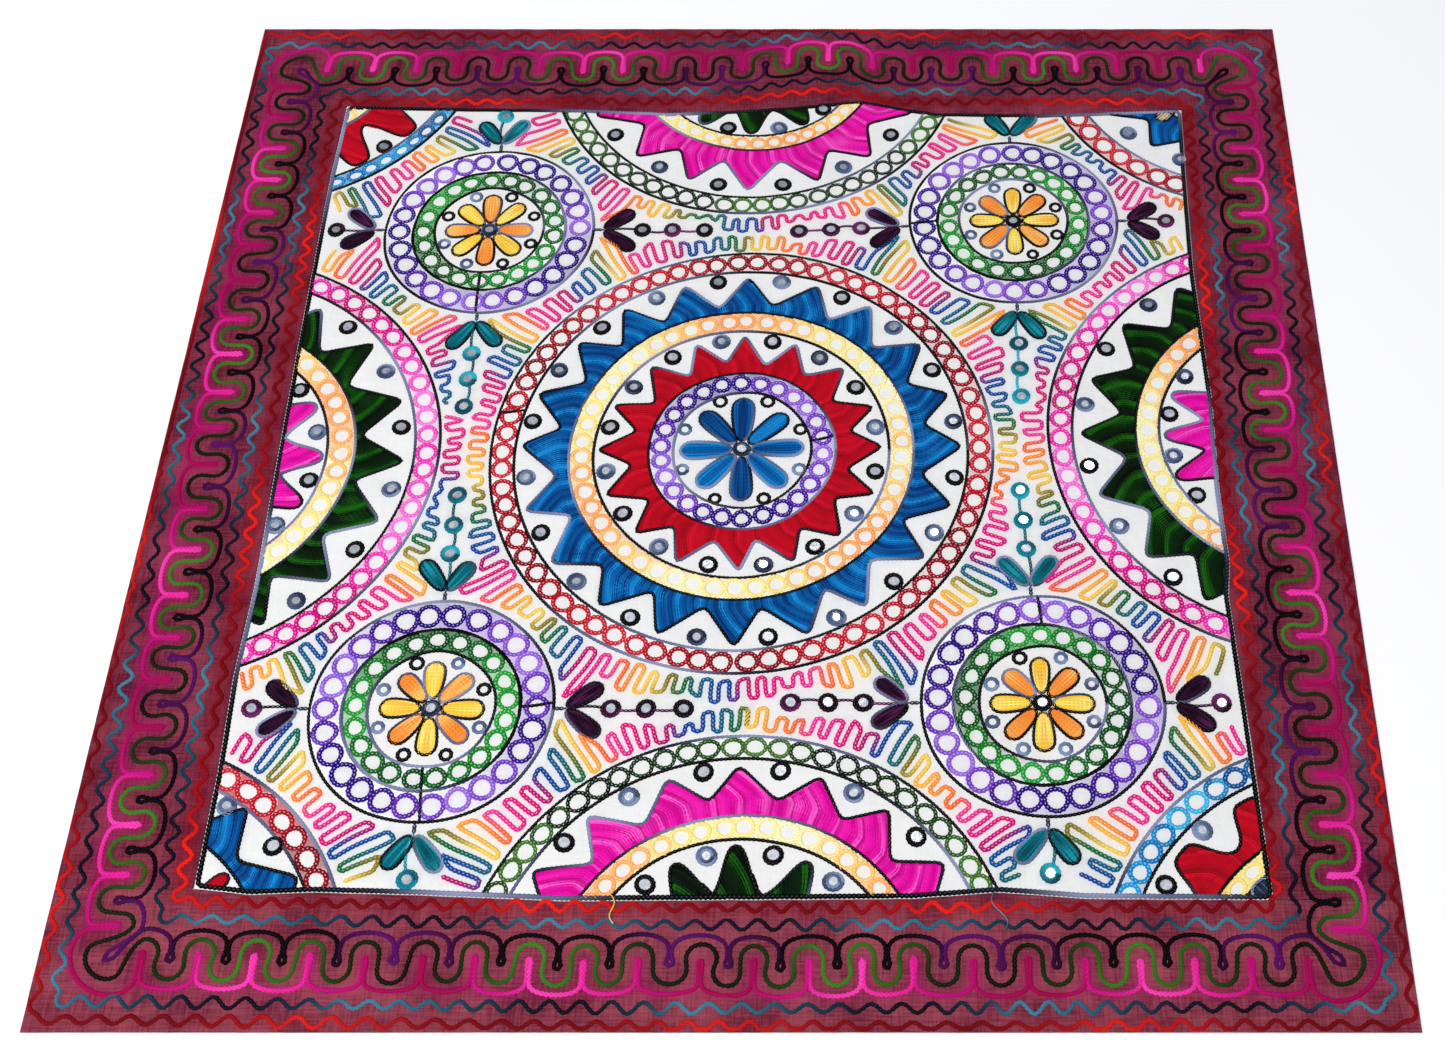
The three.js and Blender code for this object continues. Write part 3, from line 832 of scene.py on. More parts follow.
def gap_filling(ring, circles, start, random):
    """Filling between a ring's circles and its two outlines: one strip outside the circles, one inside."""
    middle = (ring["outer"] + ring["inner"]) / 2
    around = np.arange(0, 360 + 0.01, 360 / ring["circles"] / FILLING_STEPS)
    off = np.abs((around[:, None] - circles["angle"][None, :] + 180) % 360 - 180)
    nearest = off.argmin(axis=1)
    share = np.radians(off.min(axis=1)) * middle / circles["width"][nearest]
    half = circles["depth"][nearest] * np.sqrt(np.maximum(1 - share**2, 0))
    swing = 0.5 + 0.5 * np.sin(np.radians(around + random.uniform(0, 360)))
    pale, full = ring["fill"]
    fill = pale + (full - pale) * swing
    out = np.full_like(around, ring["outer"] - UNDER_OUTLINE)
    low = np.full_like(around, ring["inner"] + UNDER_OUTLINE)
    bounds = [
        (np.minimum(middle + half, out - LEAST_FILLING), out),
        (low, np.maximum(middle - half, low + LEAST_FILLING)),
    ]
    return [
        polar_strip(MEDALLIONS[ring["of"]], around, inner, outer, 4, ring["thread"], fill, start)
        for inner, outer in bounds
    ]


# A bar of black yarn crosses a ring where its outline was begun.
RING_BARS = [
    {"of": "middle", "from": 196, "to": 217, "angle": 169},
    {"of": "middle", "from": 60, "to": 81, "angle": 9},
    {"of": "small_1", "from": 51, "to": 97, "angle": 268},
    {"of": "small_2", "from": 71, "to": 97, "angle": 181},
    {"of": "small_3", "from": 51, "to": 97, "angle": 271},
    {"of": "small_3", "from": 71, "to": 97, "angle": 2},
    {"of": "small_4", "from": 71, "to": 97, "angle": 89},
]
BAR_STEPS = 8

for group, members in GROUPS.items():
    random = np.random.default_rng(11)
    circle_rows, outlines, fillings = [], [], []
    for ring in RINGS:
        if ring["of"] in members:
            circles = ring_circles(ring, random)
            start = random.uniform(0, 700)
            circle_rows += circle_lines(ring, circles, start, random)
            outlines += ring_outlines(ring, random)
            fillings += gap_filling(ring, circles, start, random)
    for bar in RING_BARS:
        if bar["of"] in members:
            reach = np.linspace(bar["from"], bar["to"], BAR_STEPS)
            route = on_circle(MEDALLIONS[bar["of"]], reach, bar["angle"] + np.linspace(-1, 1, BAR_STEPS))
            outlines.append(stitched(route, "ring_dark", OUTLINE_WIDTH, 1.5))
    sew("ring_circles_" + group, on_panel(circle_rows), yarn_on_white)
    sew("ring_outlines_" + group, on_panel(outlines), yarn_dense)
    join_fillings("ring_fillings_" + group, fillings)

# The stars
# Between the rings stands a star of pointed teeth, closely filled with rows of chain stitch that run
# from the ring out to the slanting side of each tooth, over a thin padding, and outlined in dark yarn.
# tips: how many teeth a whole star would have, and first the angle of one. soft: how often the outline's
# corners are rounded. finger: the teeth are leaves or fingers instead, this wide as a share of their
# pitch, and the higher the number sharp the straighter their sides. teeth: how many are worked on each
# side of the first one, where the next would be cut off by the seam.
STARS = [
    {"of": "middle", "tips": 20, "first": 90, "tip": 192, "valley": 157, "inner": 149, "soft": 1,
     "thread": "blue"},
    {"of": "middle", "tips": 16, "first": 90, "tip": 124, "valley": 92, "inner": 81, "soft": 1,
     "thread": "red"},
    {"of": "top", "tips": 17, "first": 270, "tip": 172, "valley": 137, "inner": 121, "soft": 1,
     "thread": "magenta"},
    {"of": "bottom", "tips": 19, "first": 91, "tip": 188, "valley": 156, "inner": 144, "soft": 1,
     "thread": "magenta"},
    {"of": "left", "tips": 18, "first": 0, "tip": 190, "valley": 150, "inner": 144, "soft": 1,
     "thread": "deep_green"},
    {"of": "right", "tips": 18, "first": 180, "tip": 190, "valley": 153, "inner": 141, "soft": 1,
     "thread": "deep_green"},
    {"of": "top", "tips": 12, "first": 270, "tip": 101, "valley": 66, "inner": 58, "finger": 0.5,
     "sharp": 2.6, "thread": "deep_green"},
    {"of": "bottom", "tips": 14, "first": 91, "tip": 118, "valley": 76, "inner": 64, "finger": 0.5,
     "sharp": 2.6, "thread": "deep_green"},
    {"of": "left", "tips": 14, "first": 1, "tip": 119, "valley": 78, "inner": 68, "finger": 0.55,
     "sharp": 2.6, "thread": "magenta"},
    {"of": "right", "tips": 16, "first": 180, "tip": 117, "valley": 76, "inner": 62, "finger": 0.55,
     "sharp": 2.6, "teeth": 1, "thread": "magenta"},
    {"of": "top_left", "tips": 21, "first": -54.6, "tip": 184, "valley": 141, "inner": 131, "finger": 0.56,
     "sharp": 5, "thread": "red"},
    {"of": "top_right", "tips": 18, "first": 212, "tip": 166, "valley": 135, "inner": 117, "soft": 1,
     "thread": "blue"},
    {"of": "bottom_left", "tips": 16, "first": 31, "tip": 189, "valley": 151, "inner": 146, "soft": 1,
     "thread": "blue"},
    {"of": "bottom_right", "tips": 17, "first": 120, "tip": 174, "valley": 143, "inner": 133, "finger": 0.55,
     "sharp": 5, "thread": "red"},
]
ROW_PITCH = 2.3
TOOTH_EDGE_POINTS = 7
FINGER_STEP = 0.75  # degrees between the points of an outline with fingers
STAR_ROW = {"width": 3.0, "height": 0.7, "lift": 0.3, "link": 4.2, "section": "row"}
STAR_ROW_STEP = 1.5
STAR_ROW_MARGIN = 3.2  # from the seams
FEWEST_ROW_STEPS = 3
SIDE_CURVE = 1.15  # of a tooth's steep side, 1 where it is straight
ROW_END_GAP = 0.9  # from the end of a row to the outline
ROW_YARN = 38  # least length of yarn in a row


def star_corners(star, random):
    """Tips and valleys by rising angle, each a little out of true."""
    step = 360 / star["tips"]
    rows = []
    for number in range(star["tips"]):
        tip = star["first"] + number * step + random.uniform(-0.07, 0.07) * step
        valley = star["first"] + (number + random.uniform(0.42, 0.62)) * step
        high = star["tip"] + random.uniform(-3, 1.5)
        if min(number, star["tips"] - number) > star.get("teeth", star["tips"]):
            high = star["valley"]
        rows.append((tip, high))
        rows.append((valley, star["valley"] + random.uniform(-3, 3)))
    return np.array(rows)


def star_rim(star, corners):
    """The star's outline as straight edges: angles that rise past a full turn, and distances."""
    if "finger" in star:
        angle = corners[0, 0] + np.arange(0, 360, FINGER_STEP)
        tips = corners[::2]
        off = np.abs((angle[:, None] - tips[None, :, 0] + 180) % 360 - 180)
        tip = tips[off.argmin(axis=1), 1]
        share = off.min(axis=1) * star["tips"] / 180
        fall = 1 + (share / star["finger"]) ** star["sharp"]
        return angle, star["valley"] + (tip - star["valley"]) / fall
    places = on_circle((0, 0), corners[:, 1], corners[:, 0])
    closed = np.vstack([places, places[:1]])
    share = np.linspace(0, 1, TOOTH_EDGE_POINTS, endpoint=False)[None, :, None]
    edge = (closed[:-1, None] * (1 - share) + closed[1:, None] * share).reshape(-1, 2)
    edge = softened(edge, star["soft"], closed=True)
    angle = np.degrees(np.unwrap(np.arctan2(edge[:, 1], edge[:, 0])))
    angle += 360 * round((corners[0, 0] - angle[0]) / 360)
    return angle, np.hypot(edge[:, 0], edge[:, 1])


def star_reach(angle, rim):
    """How far out the star goes at an angle."""
    rim_angle, rim_radius = rim
    order = np.argsort(rim_angle)
    return np.interp(angle, rim_angle[order], rim_radius[order], period=360)


def tooth_rows(star, corners, rim, number, random, start):
    """Rows of stitches over one tooth, each a copy of the tooth's steep side turned about the medallion."""
    tip_angle, tip_radius = corners[2 * number]
    low_angle, low_radius = corners[2 * number - 1]
    if low_angle > tip_angle:
        low_angle -= 360
    high_angle = corners[2 * number + 1][0]
    radius = np.arange(star["inner"] + 0.6, tip_radius, STAR_ROW_STEP)
    lean = np.clip((radius - low_radius) / (tip_radius - low_radius), 0, 1)
    side = low_angle + (tip_angle - low_angle) * lean**SIDE_CURVE
    pitch = math.degrees(ROW_PITCH / ((star["inner"] + star["tip"]) / 2))
    lines = []
    for row in range(int((high_angle - low_angle) / pitch) + 1):
        angle = side + (row + 0.5) * pitch
        keep = radius < star_reach(angle, rim) - ROW_END_GAP
        keep &= angle < high_angle + 0.5 * pitch + 3 * lean
        if keep.sum() < FEWEST_ROW_STEPS:
            continue
        route = on_circle(MEDALLIONS[star["of"]], radius[: keep.sum()], angle[: keep.sum()])
        if row % 2:
            route = route[::-1]
        lines.append(stitched(route, star["thread"], start=start, **STAR_ROW))
        start += ROW_YARN + random.uniform(0, 30)
    return lines, start


def star_padding(star, rim):
    """The padding under the rows, in the same yarn."""
    angle, reach = rim
    angle = np.append(angle, angle[0] + 360)
    reach = np.append(reach, reach[0])
    low = np.full_like(angle, star["inner"])
    full = np.ones_like(angle)
    high = reach - UNDER_OUTLINE
    return polar_strip(MEDALLIONS[star["of"]], angle, low, high, 5, star["thread"], full, 0)


padding, rows, outlines = [], {}, []
random = np.random.default_rng(23)
for star in STARS:
    corners = star_corners(star, random)
    rim = star_rim(star, corners)
    padding.append(star_padding(star, rim))
    edge = on_circle(MEDALLIONS[star["of"]], rim[1], rim[0])
    outlines.append(stitched(edge, "outline", OUTLINE_WIDTH, 1.4, random.uniform(0, 400), closed=True))
    if star["of"] not in GROUPS["middle"] + GROUPS["halves"] or star["inner"] < 70:
        base = on_circle(MEDALLIONS[star["of"]], star["inner"], np.arange(0, 360, 3))
        outlines.append(stitched(base, "outline", OUTLINE_WIDTH, 1.4, random.uniform(0, 400), closed=True))
    start = random.uniform(0, 200)
    for number in range(star["tips"]):
        lines, start = tooth_rows(star, corners, rim, number, random, start)
        rows.setdefault(star["thread"], []).extend(lines)
join_fillings("star_padding", padding)
sew("star_outlines", on_panel(outlines), yarn_dense)
for thread, lines in rows.items():
    sew("star_rows_" + thread, on_panel(lines, STAR_ROW_MARGIN), yarn_filling)

# Petals and lobes
# Filled petals lie in the medallions' hearts, in the corners and in the small medallions. Their rows run
# from end to end and close up at the tips, and a dark or grey line goes round each. "from" and "to" are
# distances from the medallion's middle, and "threads" go from petal to petal by turns.
PETALS = [
    {"of": "middle", "count": 8, "first": 0, "step": 45, "from": 8, "to": 54, "wide": 18,
     "threads": ["blue"]},
    {"of": "bottom_left", "count": 1, "first": 43, "step": 0, "from": 114, "to": 144, "wide": 11.5,
     "threads": ["red"]},
    {"of": "top_right", "count": 1, "first": 227.6, "step": 0, "from": 108, "to": 132, "wide": 13,
     "threads": ["gold"]},
    {"of": "bottom_right", "count": 1, "first": 134, "step": 0, "from": 100, "to": 119, "wide": 19,
     "threads": ["ring_steel"]},
    {"of": "top_left", "count": 1, "first": -45, "step": 0, "from": 100, "to": 118, "wide": 16,
     "threads": ["ring_grey"]},
]
for of in GROUPS["small"]:
    threads = ["orange", "gold"] if of == "small_1" else ["gold", "orange"]
    PETALS.append(
        {"of": of, "count": 8, "first": 90, "step": 45, "from": 8, "to": 42, "wide": 16, "threads": threads}
    )
PETAL_ROW = {"width": 3.0, "height": 0.8, "lift": 0.3, "link": 4.0, "section": "row"}
PETAL_ROW_PITCH = 2.6
PETAL_ROW_POINTS = 16
PETAL_EDGE_POINTS = 14
PETAL_PAD_SEAT = 0.15
PETAL_PAD_CROWN = (0, 0.3, 0.4, 0.3, 0)  # how high the padding rises over the width of a petal
petal_rows, petal_outlines, petal_padding = [], [], []


def petal_half(share, wide):
    """Half the width of a petal at a share of its length: a club with a rounded tip."""
    root = np.sqrt(np.clip(share / 0.1, 0, 1))
    swell = 0.5 + 0.5 * np.sin(np.pi / 2 * np.clip(share / 0.7, 0, 1))
    tip = np.sqrt(np.clip(1 - (np.maximum(share - 0.76, 0) / 0.24) ** 2, 0, 1))
    return wide / 2 * root * swell * tip


def petal_places(middle, angle, near, far, wide, share, aside):
    """Places on a petal: a share of its length, and a share of its half width to one side."""
    axis = np.array([math.cos(math.radians(angle)), math.sin(math.radians(angle))])
    normal = np.array([-axis[1], axis[0]])
    along = near + share * (far - near)
    out = petal_half(share, wide) * aside
    return np.asarray(middle) + along[:, None] * axis + out[:, None] * normal


def add_petal(middle, angle, near, far, wide, thread, random):
    """Works one petal: its rows, the line round it and its padding."""
    share = np.linspace(0.02, 0.985, PETAL_ROW_POINTS)
    rows = max(3, int(wide / PETAL_ROW_PITCH))
    start = random.uniform(0, 200)
    for aside in np.linspace(-0.8, 0.8, rows):
        route = petal_places(middle, angle, near, far, wide, share, np.full_like(share, aside))
        petal_rows.append(stitched(route, thread, start=start + 150 * abs(aside), **PETAL_ROW))
    there = np.linspace(0, 1, PETAL_EDGE_POINTS)
    edge = np.vstack([
        petal_places(middle, angle, near, far, wide, there, np.ones_like(there)),
        petal_places(middle, angle, near, far, wide, there[-2:0:-1], -np.ones(len(there) - 2)),
    ])
    edge = softened(spaced(edge, 2.2, True), 2, True)
    petal_outlines.append(stitched(edge, "outline", 3.3, 1.5, random.uniform(0, 430), closed=True))
    columns = len(PETAL_PAD_CROWN)
    grid = np.stack([
        petal_places(middle, angle, near, far, wide, share, np.full_like(share, aside))
        for aside in np.linspace(0.97, -0.97, columns)
    ], axis=1)
    z = cotton_face(grid[..., 0], grid[..., 1]) + PETAL_PAD_SEAT + np.array(PETAL_PAD_CROWN)
    points = np.dstack([grid, z]).reshape(-1, 3)
    across = np.broadcast_to(np.linspace(0, rows, columns), z.shape)
    stitch = np.dstack([across, np.broadcast_to(share[:, None] * 10, z.shape)]).reshape(-1, 2)
    dye = np.repeat(yarn(thread, start + share * 40), columns, axis=0)
    petal_padding.append((points, grid_faces(len(share), columns), stitch, dye))


random = np.random.default_rng(31)
for petal in PETALS:
    for number in range(petal["count"]):
        angle = petal["first"] + number * petal["step"] + random.uniform(-2, 2)
        thread = petal["threads"][number % len(petal["threads"])]
        wide = petal["wide"] * random.uniform(0.92, 1.06)
        far = petal["to"] + random.uniform(-2, 1)
        add_petal(MEDALLIONS[petal["of"]], angle, petal["from"], far, wide, thread, random)

# The sprigs
# From each small medallion four sprigs grow towards its neighbours: two leaves in a V on a short stem,
# then a thin stem that carries beads of stitching round small mirrors. Tilt turns a sprig, in degrees.
SPRIGS = [
    {"of": "small_1", "towards": 0, "tilt": 0, "beads": 3},
    {"of": "small_1", "towards": 90, "tilt": 0, "beads": 1},
    {"of": "small_1", "towards": 180, "tilt": 0, "beads": 1},
    {"of": "small_1", "towards": 270, "tilt": 0, "beads": 3},
    {"of": "small_2", "towards": 0, "tilt": 0, "beads": 1},
    {"of": "small_2", "towards": 90, "tilt": 0, "beads": 0},
    {"of": "small_2", "towards": 180, "tilt": 3.6, "beads": 3},
    {"of": "small_2", "towards": 270, "tilt": 0, "beads": 3},
    {"of": "small_3", "towards": 0, "tilt": 0, "beads": 3},
    {"of": "small_3", "towards": 90, "tilt": 1, "beads": 3},
    {"of": "small_3", "towards": 180, "tilt": 0, "beads": 1},
    {"of": "small_3", "towards": 270, "tilt": 0, "beads": 1},
    {"of": "small_4", "towards": 0, "tilt": 0, "beads": 1},
    {"of": "small_4", "towards": 90, "tilt": 3, "beads": 3},
    {"of": "small_4", "towards": 180, "tilt": 0, "beads": 3},
    {"of": "small_4", "towards": 270, "tilt": 0, "beads": 1},
]
SPRIG_FOOT = 98
LEAF_JOINT = 106
LEAF_SPREAD = 38
LEAF_LONG = 37
LEAF_WIDE = 14
BEADS_AT = (143, 171, 201)
STEM_STEPS = 9
STEM_BOW = 0.12  # of its length

sprig_lines, bead_places = [], []
for sprig in SPRIGS:
    upright = sprig["towards"] in (90, 270)
    leaf, stem = ("leaf_teal", "stem_teal") if upright else ("leaf_plum", "stem_plum")
    middle = MEDALLIONS[sprig["of"]]
    heading = sprig["towards"] + sprig["tilt"]
    joint = on_circle(middle, LEAF_JOINT, heading)
    for hand in (-1, 1):
        angle = heading + hand * LEAF_SPREAD + random.uniform(-4, 4)
        long = LEAF_LONG * random.uniform(0.92, 1.06)
        add_petal(joint, angle, 2, long, LEAF_WIDE, leaf, random)
    first = on_circle(middle, SPRIG_FOOT, heading)
    sprig_lines.append(stitched(np.array([first, joint]), "ring_steel", 4.0, 1.2))
    reach = [on_circle(middle, radius, heading) for radius in BEADS_AT[: sprig["beads"]]]
    stops = [joint] + reach
    for a, b in zip(stops[:-1], stops[1:]):
        share = np.linspace(0, 1, STEM_STEPS)[:, None]
        sideways = np.array([-(b - a)[1], (b - a)[0]]) * STEM_BOW * random.uniform(-1, 1)
        route = a + (b - a) * share + sideways * np.sin(np.pi * share)
        sprig_lines.append(stitched(route, stem, 3.1, 1.1, random.uniform(0, 160)))
    bead_places += [{"at": place, "thread": stem, "start": random.uniform(0, 160)} for place in reach]

join_fillings("petal_padding", petal_padding)
sew("petal_rows", on_panel(petal_rows), yarn_filling)
sew("petal_outlines", on_panel(petal_outlines), yarn_dense)
sew("sprig_stems", on_panel(sprig_lines), yarn_on_white)

# The mirrors
# Thin round mirrors cut from blown glass, so no two throw the light back alike. Each is held by rounds
# of stitches over its rim: black or grey between the tips of the stars, and in the stem's yarn on sprigs.
GLASS_RADIUS = 5.5
GLASS_THICKNESS = 0.8
GLASS_SIDES = 28
GLASS_SEAT = 0.3  # above the cotton
GLASS_TILT = 3.5  # degrees at most
BEAD_GLASS_RADIUS = 4.6
MIRROR_MARGIN = 0.5  # from their stitches to the seam
MIRROR_LINK = 3.0
# The rounds of stitches over a mirror's rim, outside first: radius, width of the line, and lift.
MIRROR_STITCHES = {
    "ring_dark": ((6.7, 3.9, 0.1), (5.4, 2.8, 0.9)),
    "ring_grey": ((6.9, 3.6, 0.1), (4.6, 3.2, 0.9)),
    "ring_steel": ((6.7, 3.6, 0.1), (4.7, 3.2, 0.9)),
}


def mirror_material():
    """Silvered glass, a little scratched and wavy. Its colour goes in patches from grey to near white: the
    grey is painted reflection of darker surroundings.
    """
    material, tree, shader = new_material("silvered_glass")
    place = tree.nodes.new("ShaderNodeTexCoord")
    cloudy = stretched_noise(tree, place.outputs["Object"], (1, 1, 1), 260, 3.0)
    scratches = stretched_noise(tree, place.outputs["Object"], (1, 0.12, 1), 1600, 2.0)
    # Grey patches in the silvering's colour are painted reflection; the near white is the silver's own.
    tint = blend_of(tree, cloudy, dye_colour("848D9C"), dye_colour("F6F8FC"))
    tree.links.new(tint, shader.inputs["Base Color"])
    rough = maths(tree, "MULTIPLY_ADD", scratches, 0.3, 0.02)
    tree.links.new(rough, shader.inputs["Roughness"])
    shader.inputs["Metallic"].default_value = 1.0
    wavy = bump_of(tree, cloudy, strength=0.3, distance=0.0003)
    tree.links.new(wavy, shader.inputs["Normal"])
    return material


silvered_glass = mirror_material()


def glass_disc(at, radius, random):
    """One mirror, tilted slightly, with a ground edge: a middle, two rings on the face and one below."""
    turn = np.linspace(0, 360, GLASS_SIDES, endpoint=False)
    rings = [(0.0, 1.0), (radius - 0.25, 1.0), (radius, 0.7), (radius, 0.0)]
    lean = np.radians(random.uniform(-GLASS_TILT, GLASS_TILT, 2))
    seat = cotton_face(np.array([at[0]]), np.array([at[1]]))[0] + GLASS_SEAT
    points = []
    for distance, level in rings:
        around = on_circle((0, 0), distance, turn)
        z = seat + GLASS_THICKNESS * level + around[:, 0] * lean[0] + around[:, 1] * lean[1]
        points.append(np.column_stack([around + at, z]))
    faces = []
    for ring in range(len(rings) - 1):
        a = ring * GLASS_SIDES + np.arange(GLASS_SIDES)
        b = ring * GLASS_SIDES + (np.arange(GLASS_SIDES) + 1) % GLASS_SIDES
        faces.append(np.column_stack([a, a + GLASS_SIDES, b + GLASS_SIDES, b]))
    return np.vstack(points), np.vstack(faces)


def set_mirrors(name, mirrors, random):
    """Sets a group of mirrors and the stitches that hold them, as two pieces."""
    discs = [glass_disc(mirror["at"], mirror.get("glass", GLASS_RADIUS), random) for mirror in mirrors]
    points, faces = joined(discs)
    glass = make_mesh(name + "_glass", points, faces, silvered_glass)
    glass.data.shade_flat()
    lines = []
    turn = np.arange(0, 360, 15)
    for mirror in mirrors:
        for radius, width, lift in mirror.get("rounds") or MIRROR_STITCHES[mirror["thread"]]:
            wobble = 1 + 0.04 * np.cos(np.radians(2 * turn - random.uniform(0, 360)))
            route = on_circle(mirror["at"], radius * wobble, turn)
            start = mirror.get("start", random.uniform(0, 60))
            lines.append(
                stitched(route, mirror["thread"], width, 1.2, start, True, lift, MIRROR_LINK)
            )
    sew(name + "_stitches", on_panel(lines, MIRROR_MARGIN), yarn_dense)
    return glass


MIRROR_ROOM = 6  # from a mirror's middle to the seam, at least


def between_tips(of, tips, first, radius, dark_first=True):
    """A mirror between each two tips of a star, dark and grey rounds by turns."""
    mirrors = []
    for number in range(tips):
        at = on_circle(MEDALLIONS[of], radius, first + (number + 0.5) * 360 / tips)
        if room(at[0], at[1]) > MIRROR_ROOM:
            dark = (number % 2 == 0) == dark_first
            pale = "ring_steel" if number % 6 in (2, 3) else "ring_grey"
            mirrors.append({"at": at, "thread": "ring_dark" if dark else pale})
    return mirrors


random = np.random.default_rng(43)
outer_round = between_tips("middle", tips=20, first=90, radius=186)
inner_round = between_tips("middle", tips=16, first=90, radius=118, dark_first=False)
glass = set_mirrors("outer_mirrors", outer_round, random)
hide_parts(*[f"mirror_outer_{n:02d}" for n in range(1, 21)])
glass = set_mirrors("inner_mirrors", inner_round, random)
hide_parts(*[f"mirror_inner_{n:02d}" for n in range(1, 17)])

HUB_ROUNDS = ((6.4, 3.6, 0.2), (4.8, 2.8, 0.9))
hubs = [
    {"at": np.array(MEDALLIONS[of]), "thread": thread, "rounds": HUB_ROUNDS}
    for of, thread in zip(GROUPS["small"], ("ring_steel", "ring_dark", "ring_steel", "ring_dark"))
]
glass = set_mirrors("hub_mirrors", hubs, random)
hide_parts(*[f"mirror_hub_{n}" for n in (1, 2, 3, 4)])
heart = [{"at": np.array(MEDALLIONS["middle"]), "thread": "ring_steel", "rounds": HUB_ROUNDS}]
glass = set_mirrors("middle_mirror", heart, random)
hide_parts("mirror_middle")

# Each row: a half medallion, its star's teeth as in STARS, how far out the mirrors between them lie, and
# whether the first mirror has dark rounds.
HALF_ROUNDS = [
    {"of": "top", "tips": 17, "first": 270, "radius": 167, "dark_first": True},
    {"of": "top", "tips": 12, "first": 270, "radius": 95, "dark_first": False},
    {"of": "bottom", "tips": 19, "first": 91, "radius": 183, "dark_first": True},
    {"of": "bottom", "tips": 14, "first": 91, "radius": 114, "dark_first": False},
    {"of": "left", "tips": 18, "first": 0, "radius": 184, "dark_first": True},
    {"of": "left", "tips": 14, "first": 1, "radius": 112, "dark_first": False},
    {"of": "right", "tips": 18, "first": 180, "radius": 186, "dark_first": True},
    {"of": "right", "tips": 16, "first": 180, "radius": 112, "dark_first": False},
]
half_mirrors = [mirror for row in HALF_ROUNDS for mirror in between_tips(**row)]
set_mirrors("half_mirrors", half_mirrors, random)
CORNER_MIRRORS = [
    {"of": "top_left", "radius": 179, "angle": -47, "thread": "ring_dark"},
    {"of": "top_right", "radius": 165, "angle": 222.5, "thread": "ring_grey"},
    {"of": "top_right", "radius": 163, "angle": 243, "thread": "ring_grey"},
    {"of": "bottom_left", "radius": 179, "angle": 58, "thread": "ring_grey"},
    {"of": "bottom_left", "radius": 181, "angle": 41, "thread": "ring_dark"},
    {"of": "bottom_right", "radius": 173, "angle": 132.5, "thread": "ring_grey"},
    {"of": "bottom_right", "radius": 170, "angle": 150.5, "thread": "ring_dark"},
]
corner_mirrors = [
    {"at": on_circle(MEDALLIONS[row["of"]], row["radius"], row["angle"]), "thread": row["thread"]}
    for row in CORNER_MIRRORS
]
set_mirrors("corner_mirrors", corner_mirrors, random)
BEAD_ROUNDS = ((6.8, 3.8, 0.1), (5.0, 2.9, 0.9))
beads = [{**bead, "glass": BEAD_GLASS_RADIUS, "rounds": BEAD_ROUNDS} for bead in bead_places]
set_mirrors("sprig_mirrors", beads, random)

# Small thread rings
# Between the petals of every flower lies a small ring of chain stitch in black or grey yarn, worked round
# once, with bare cotton inside it.
RING_ROUNDS = [{"of": "middle", "radius": 54.5, "first": 22.5, "size": 4.9}]
for of in GROUPS["small"]:
    RING_ROUNDS.append({"of": of, "radius": 43.5, "first": 112.5, "size": 4.7})
ringlets = []
for round_of in RING_ROUNDS:
    for number in range(8):
        at = on_circle(MEDALLIONS[round_of["of"]], round_of["radius"], round_of["first"] + 45 * number)
        size = round_of["size"] * random.uniform(0.9, 1.08)
        thread = "ring_dark" if random.uniform() < 0.5 else "ring_grey"
        route = on_circle(at, size, np.arange(0, 360, 20))
        start = random.uniform(0, 60)
        ringlets.append(stitched(route, thread, 4.1, 1.2, start, closed=True, link=MIRROR_LINK))
sew("thread_ringlets", ringlets, yarn_dense)

# The meander
# The ground between the medallions is covered by one wandering line in yarn that changes colour all the
# time. It goes back and forth between a large medallion and whatever faces it, at a steady pitch.
STROKE_PITCH = 7.5
MEANDER_CLEARANCE = 6.0  # from the rings
STROKE_GAP = 4.5  # from the seams, and half the gap to another medallion's strokes
SHORTEST_STROKE = 3
LONGEST_STROKE = 110
STROKE_STEP = 0.5
PITCH_MEASURED = 12  # how far out along the strokes their pitch is true
FEWEST_STROKES = 4  # in a route
MEANDER_MARGIN = 2.5  # from the seams
# How far a stroke keeps from a sprig's axis, by distance from the small medallion's middle.
SPRIG_SPACE = [
    {"along": 96, "aside": 6}, {"along": 106, "aside": 8}, {"along": 132, "aside": 30},
    {"along": 140, "aside": 24}, {"along": 150, "aside": 13}, {"along": 208, "aside": 13},
    {"along": 216, "aside": 3},
]
SPRIG_BEGINS = 96
SPRIG_ENDS = {"long": 216, "short": 158}
LARGE = GROUPS["middle"] + GROUPS["halves"] + GROUPS["corners"]
RIM = {of: max(ring["outer"] for ring in RINGS if ring["of"] == of) for of in MEDALLIONS}


def free_for_strokes(of, places):
    """Where a stroke that starts at a large medallion may still go."""
    x, y = places[..., 0], places[..., 1]
    own = np.hypot(x - MEDALLIONS[of][0], y - MEDALLIONS[of][1]) - RIM[of]
    free = room(x, y) > STROKE_GAP
    for other in LARGE:
        if other != of:
            distance = np.hypot(x - MEDALLIONS[other][0], y - MEDALLIONS[other][1]) - RIM[other]
            free &= own + STROKE_GAP < distance
    for other in GROUPS["small"]:
        small = MEDALLIONS[other]
        free &= np.hypot(x - small[0], y - small[1]) > RIM[other] + MEANDER_CLEARANCE
    for sprig in SPRIGS:
        small = MEDALLIONS[sprig["of"]]
        turn = math.radians(sprig["towards"] + sprig["tilt"])
        along = (x - small[0]) * math.cos(turn) + (y - small[1]) * math.sin(turn)
        aside = np.abs((y - small[1]) * math.cos(turn) - (x - small[0]) * math.sin(turn))
        reach = SPRIG_ENDS["long" if sprig["beads"] > 1 else "short"]
        space = np.interp(along, [r["along"] for r in SPRIG_SPACE], [r["aside"] for r in SPRIG_SPACE])
        free &= ~((along > SPRIG_BEGINS) & (along < reach) & (aside < space))
    return free


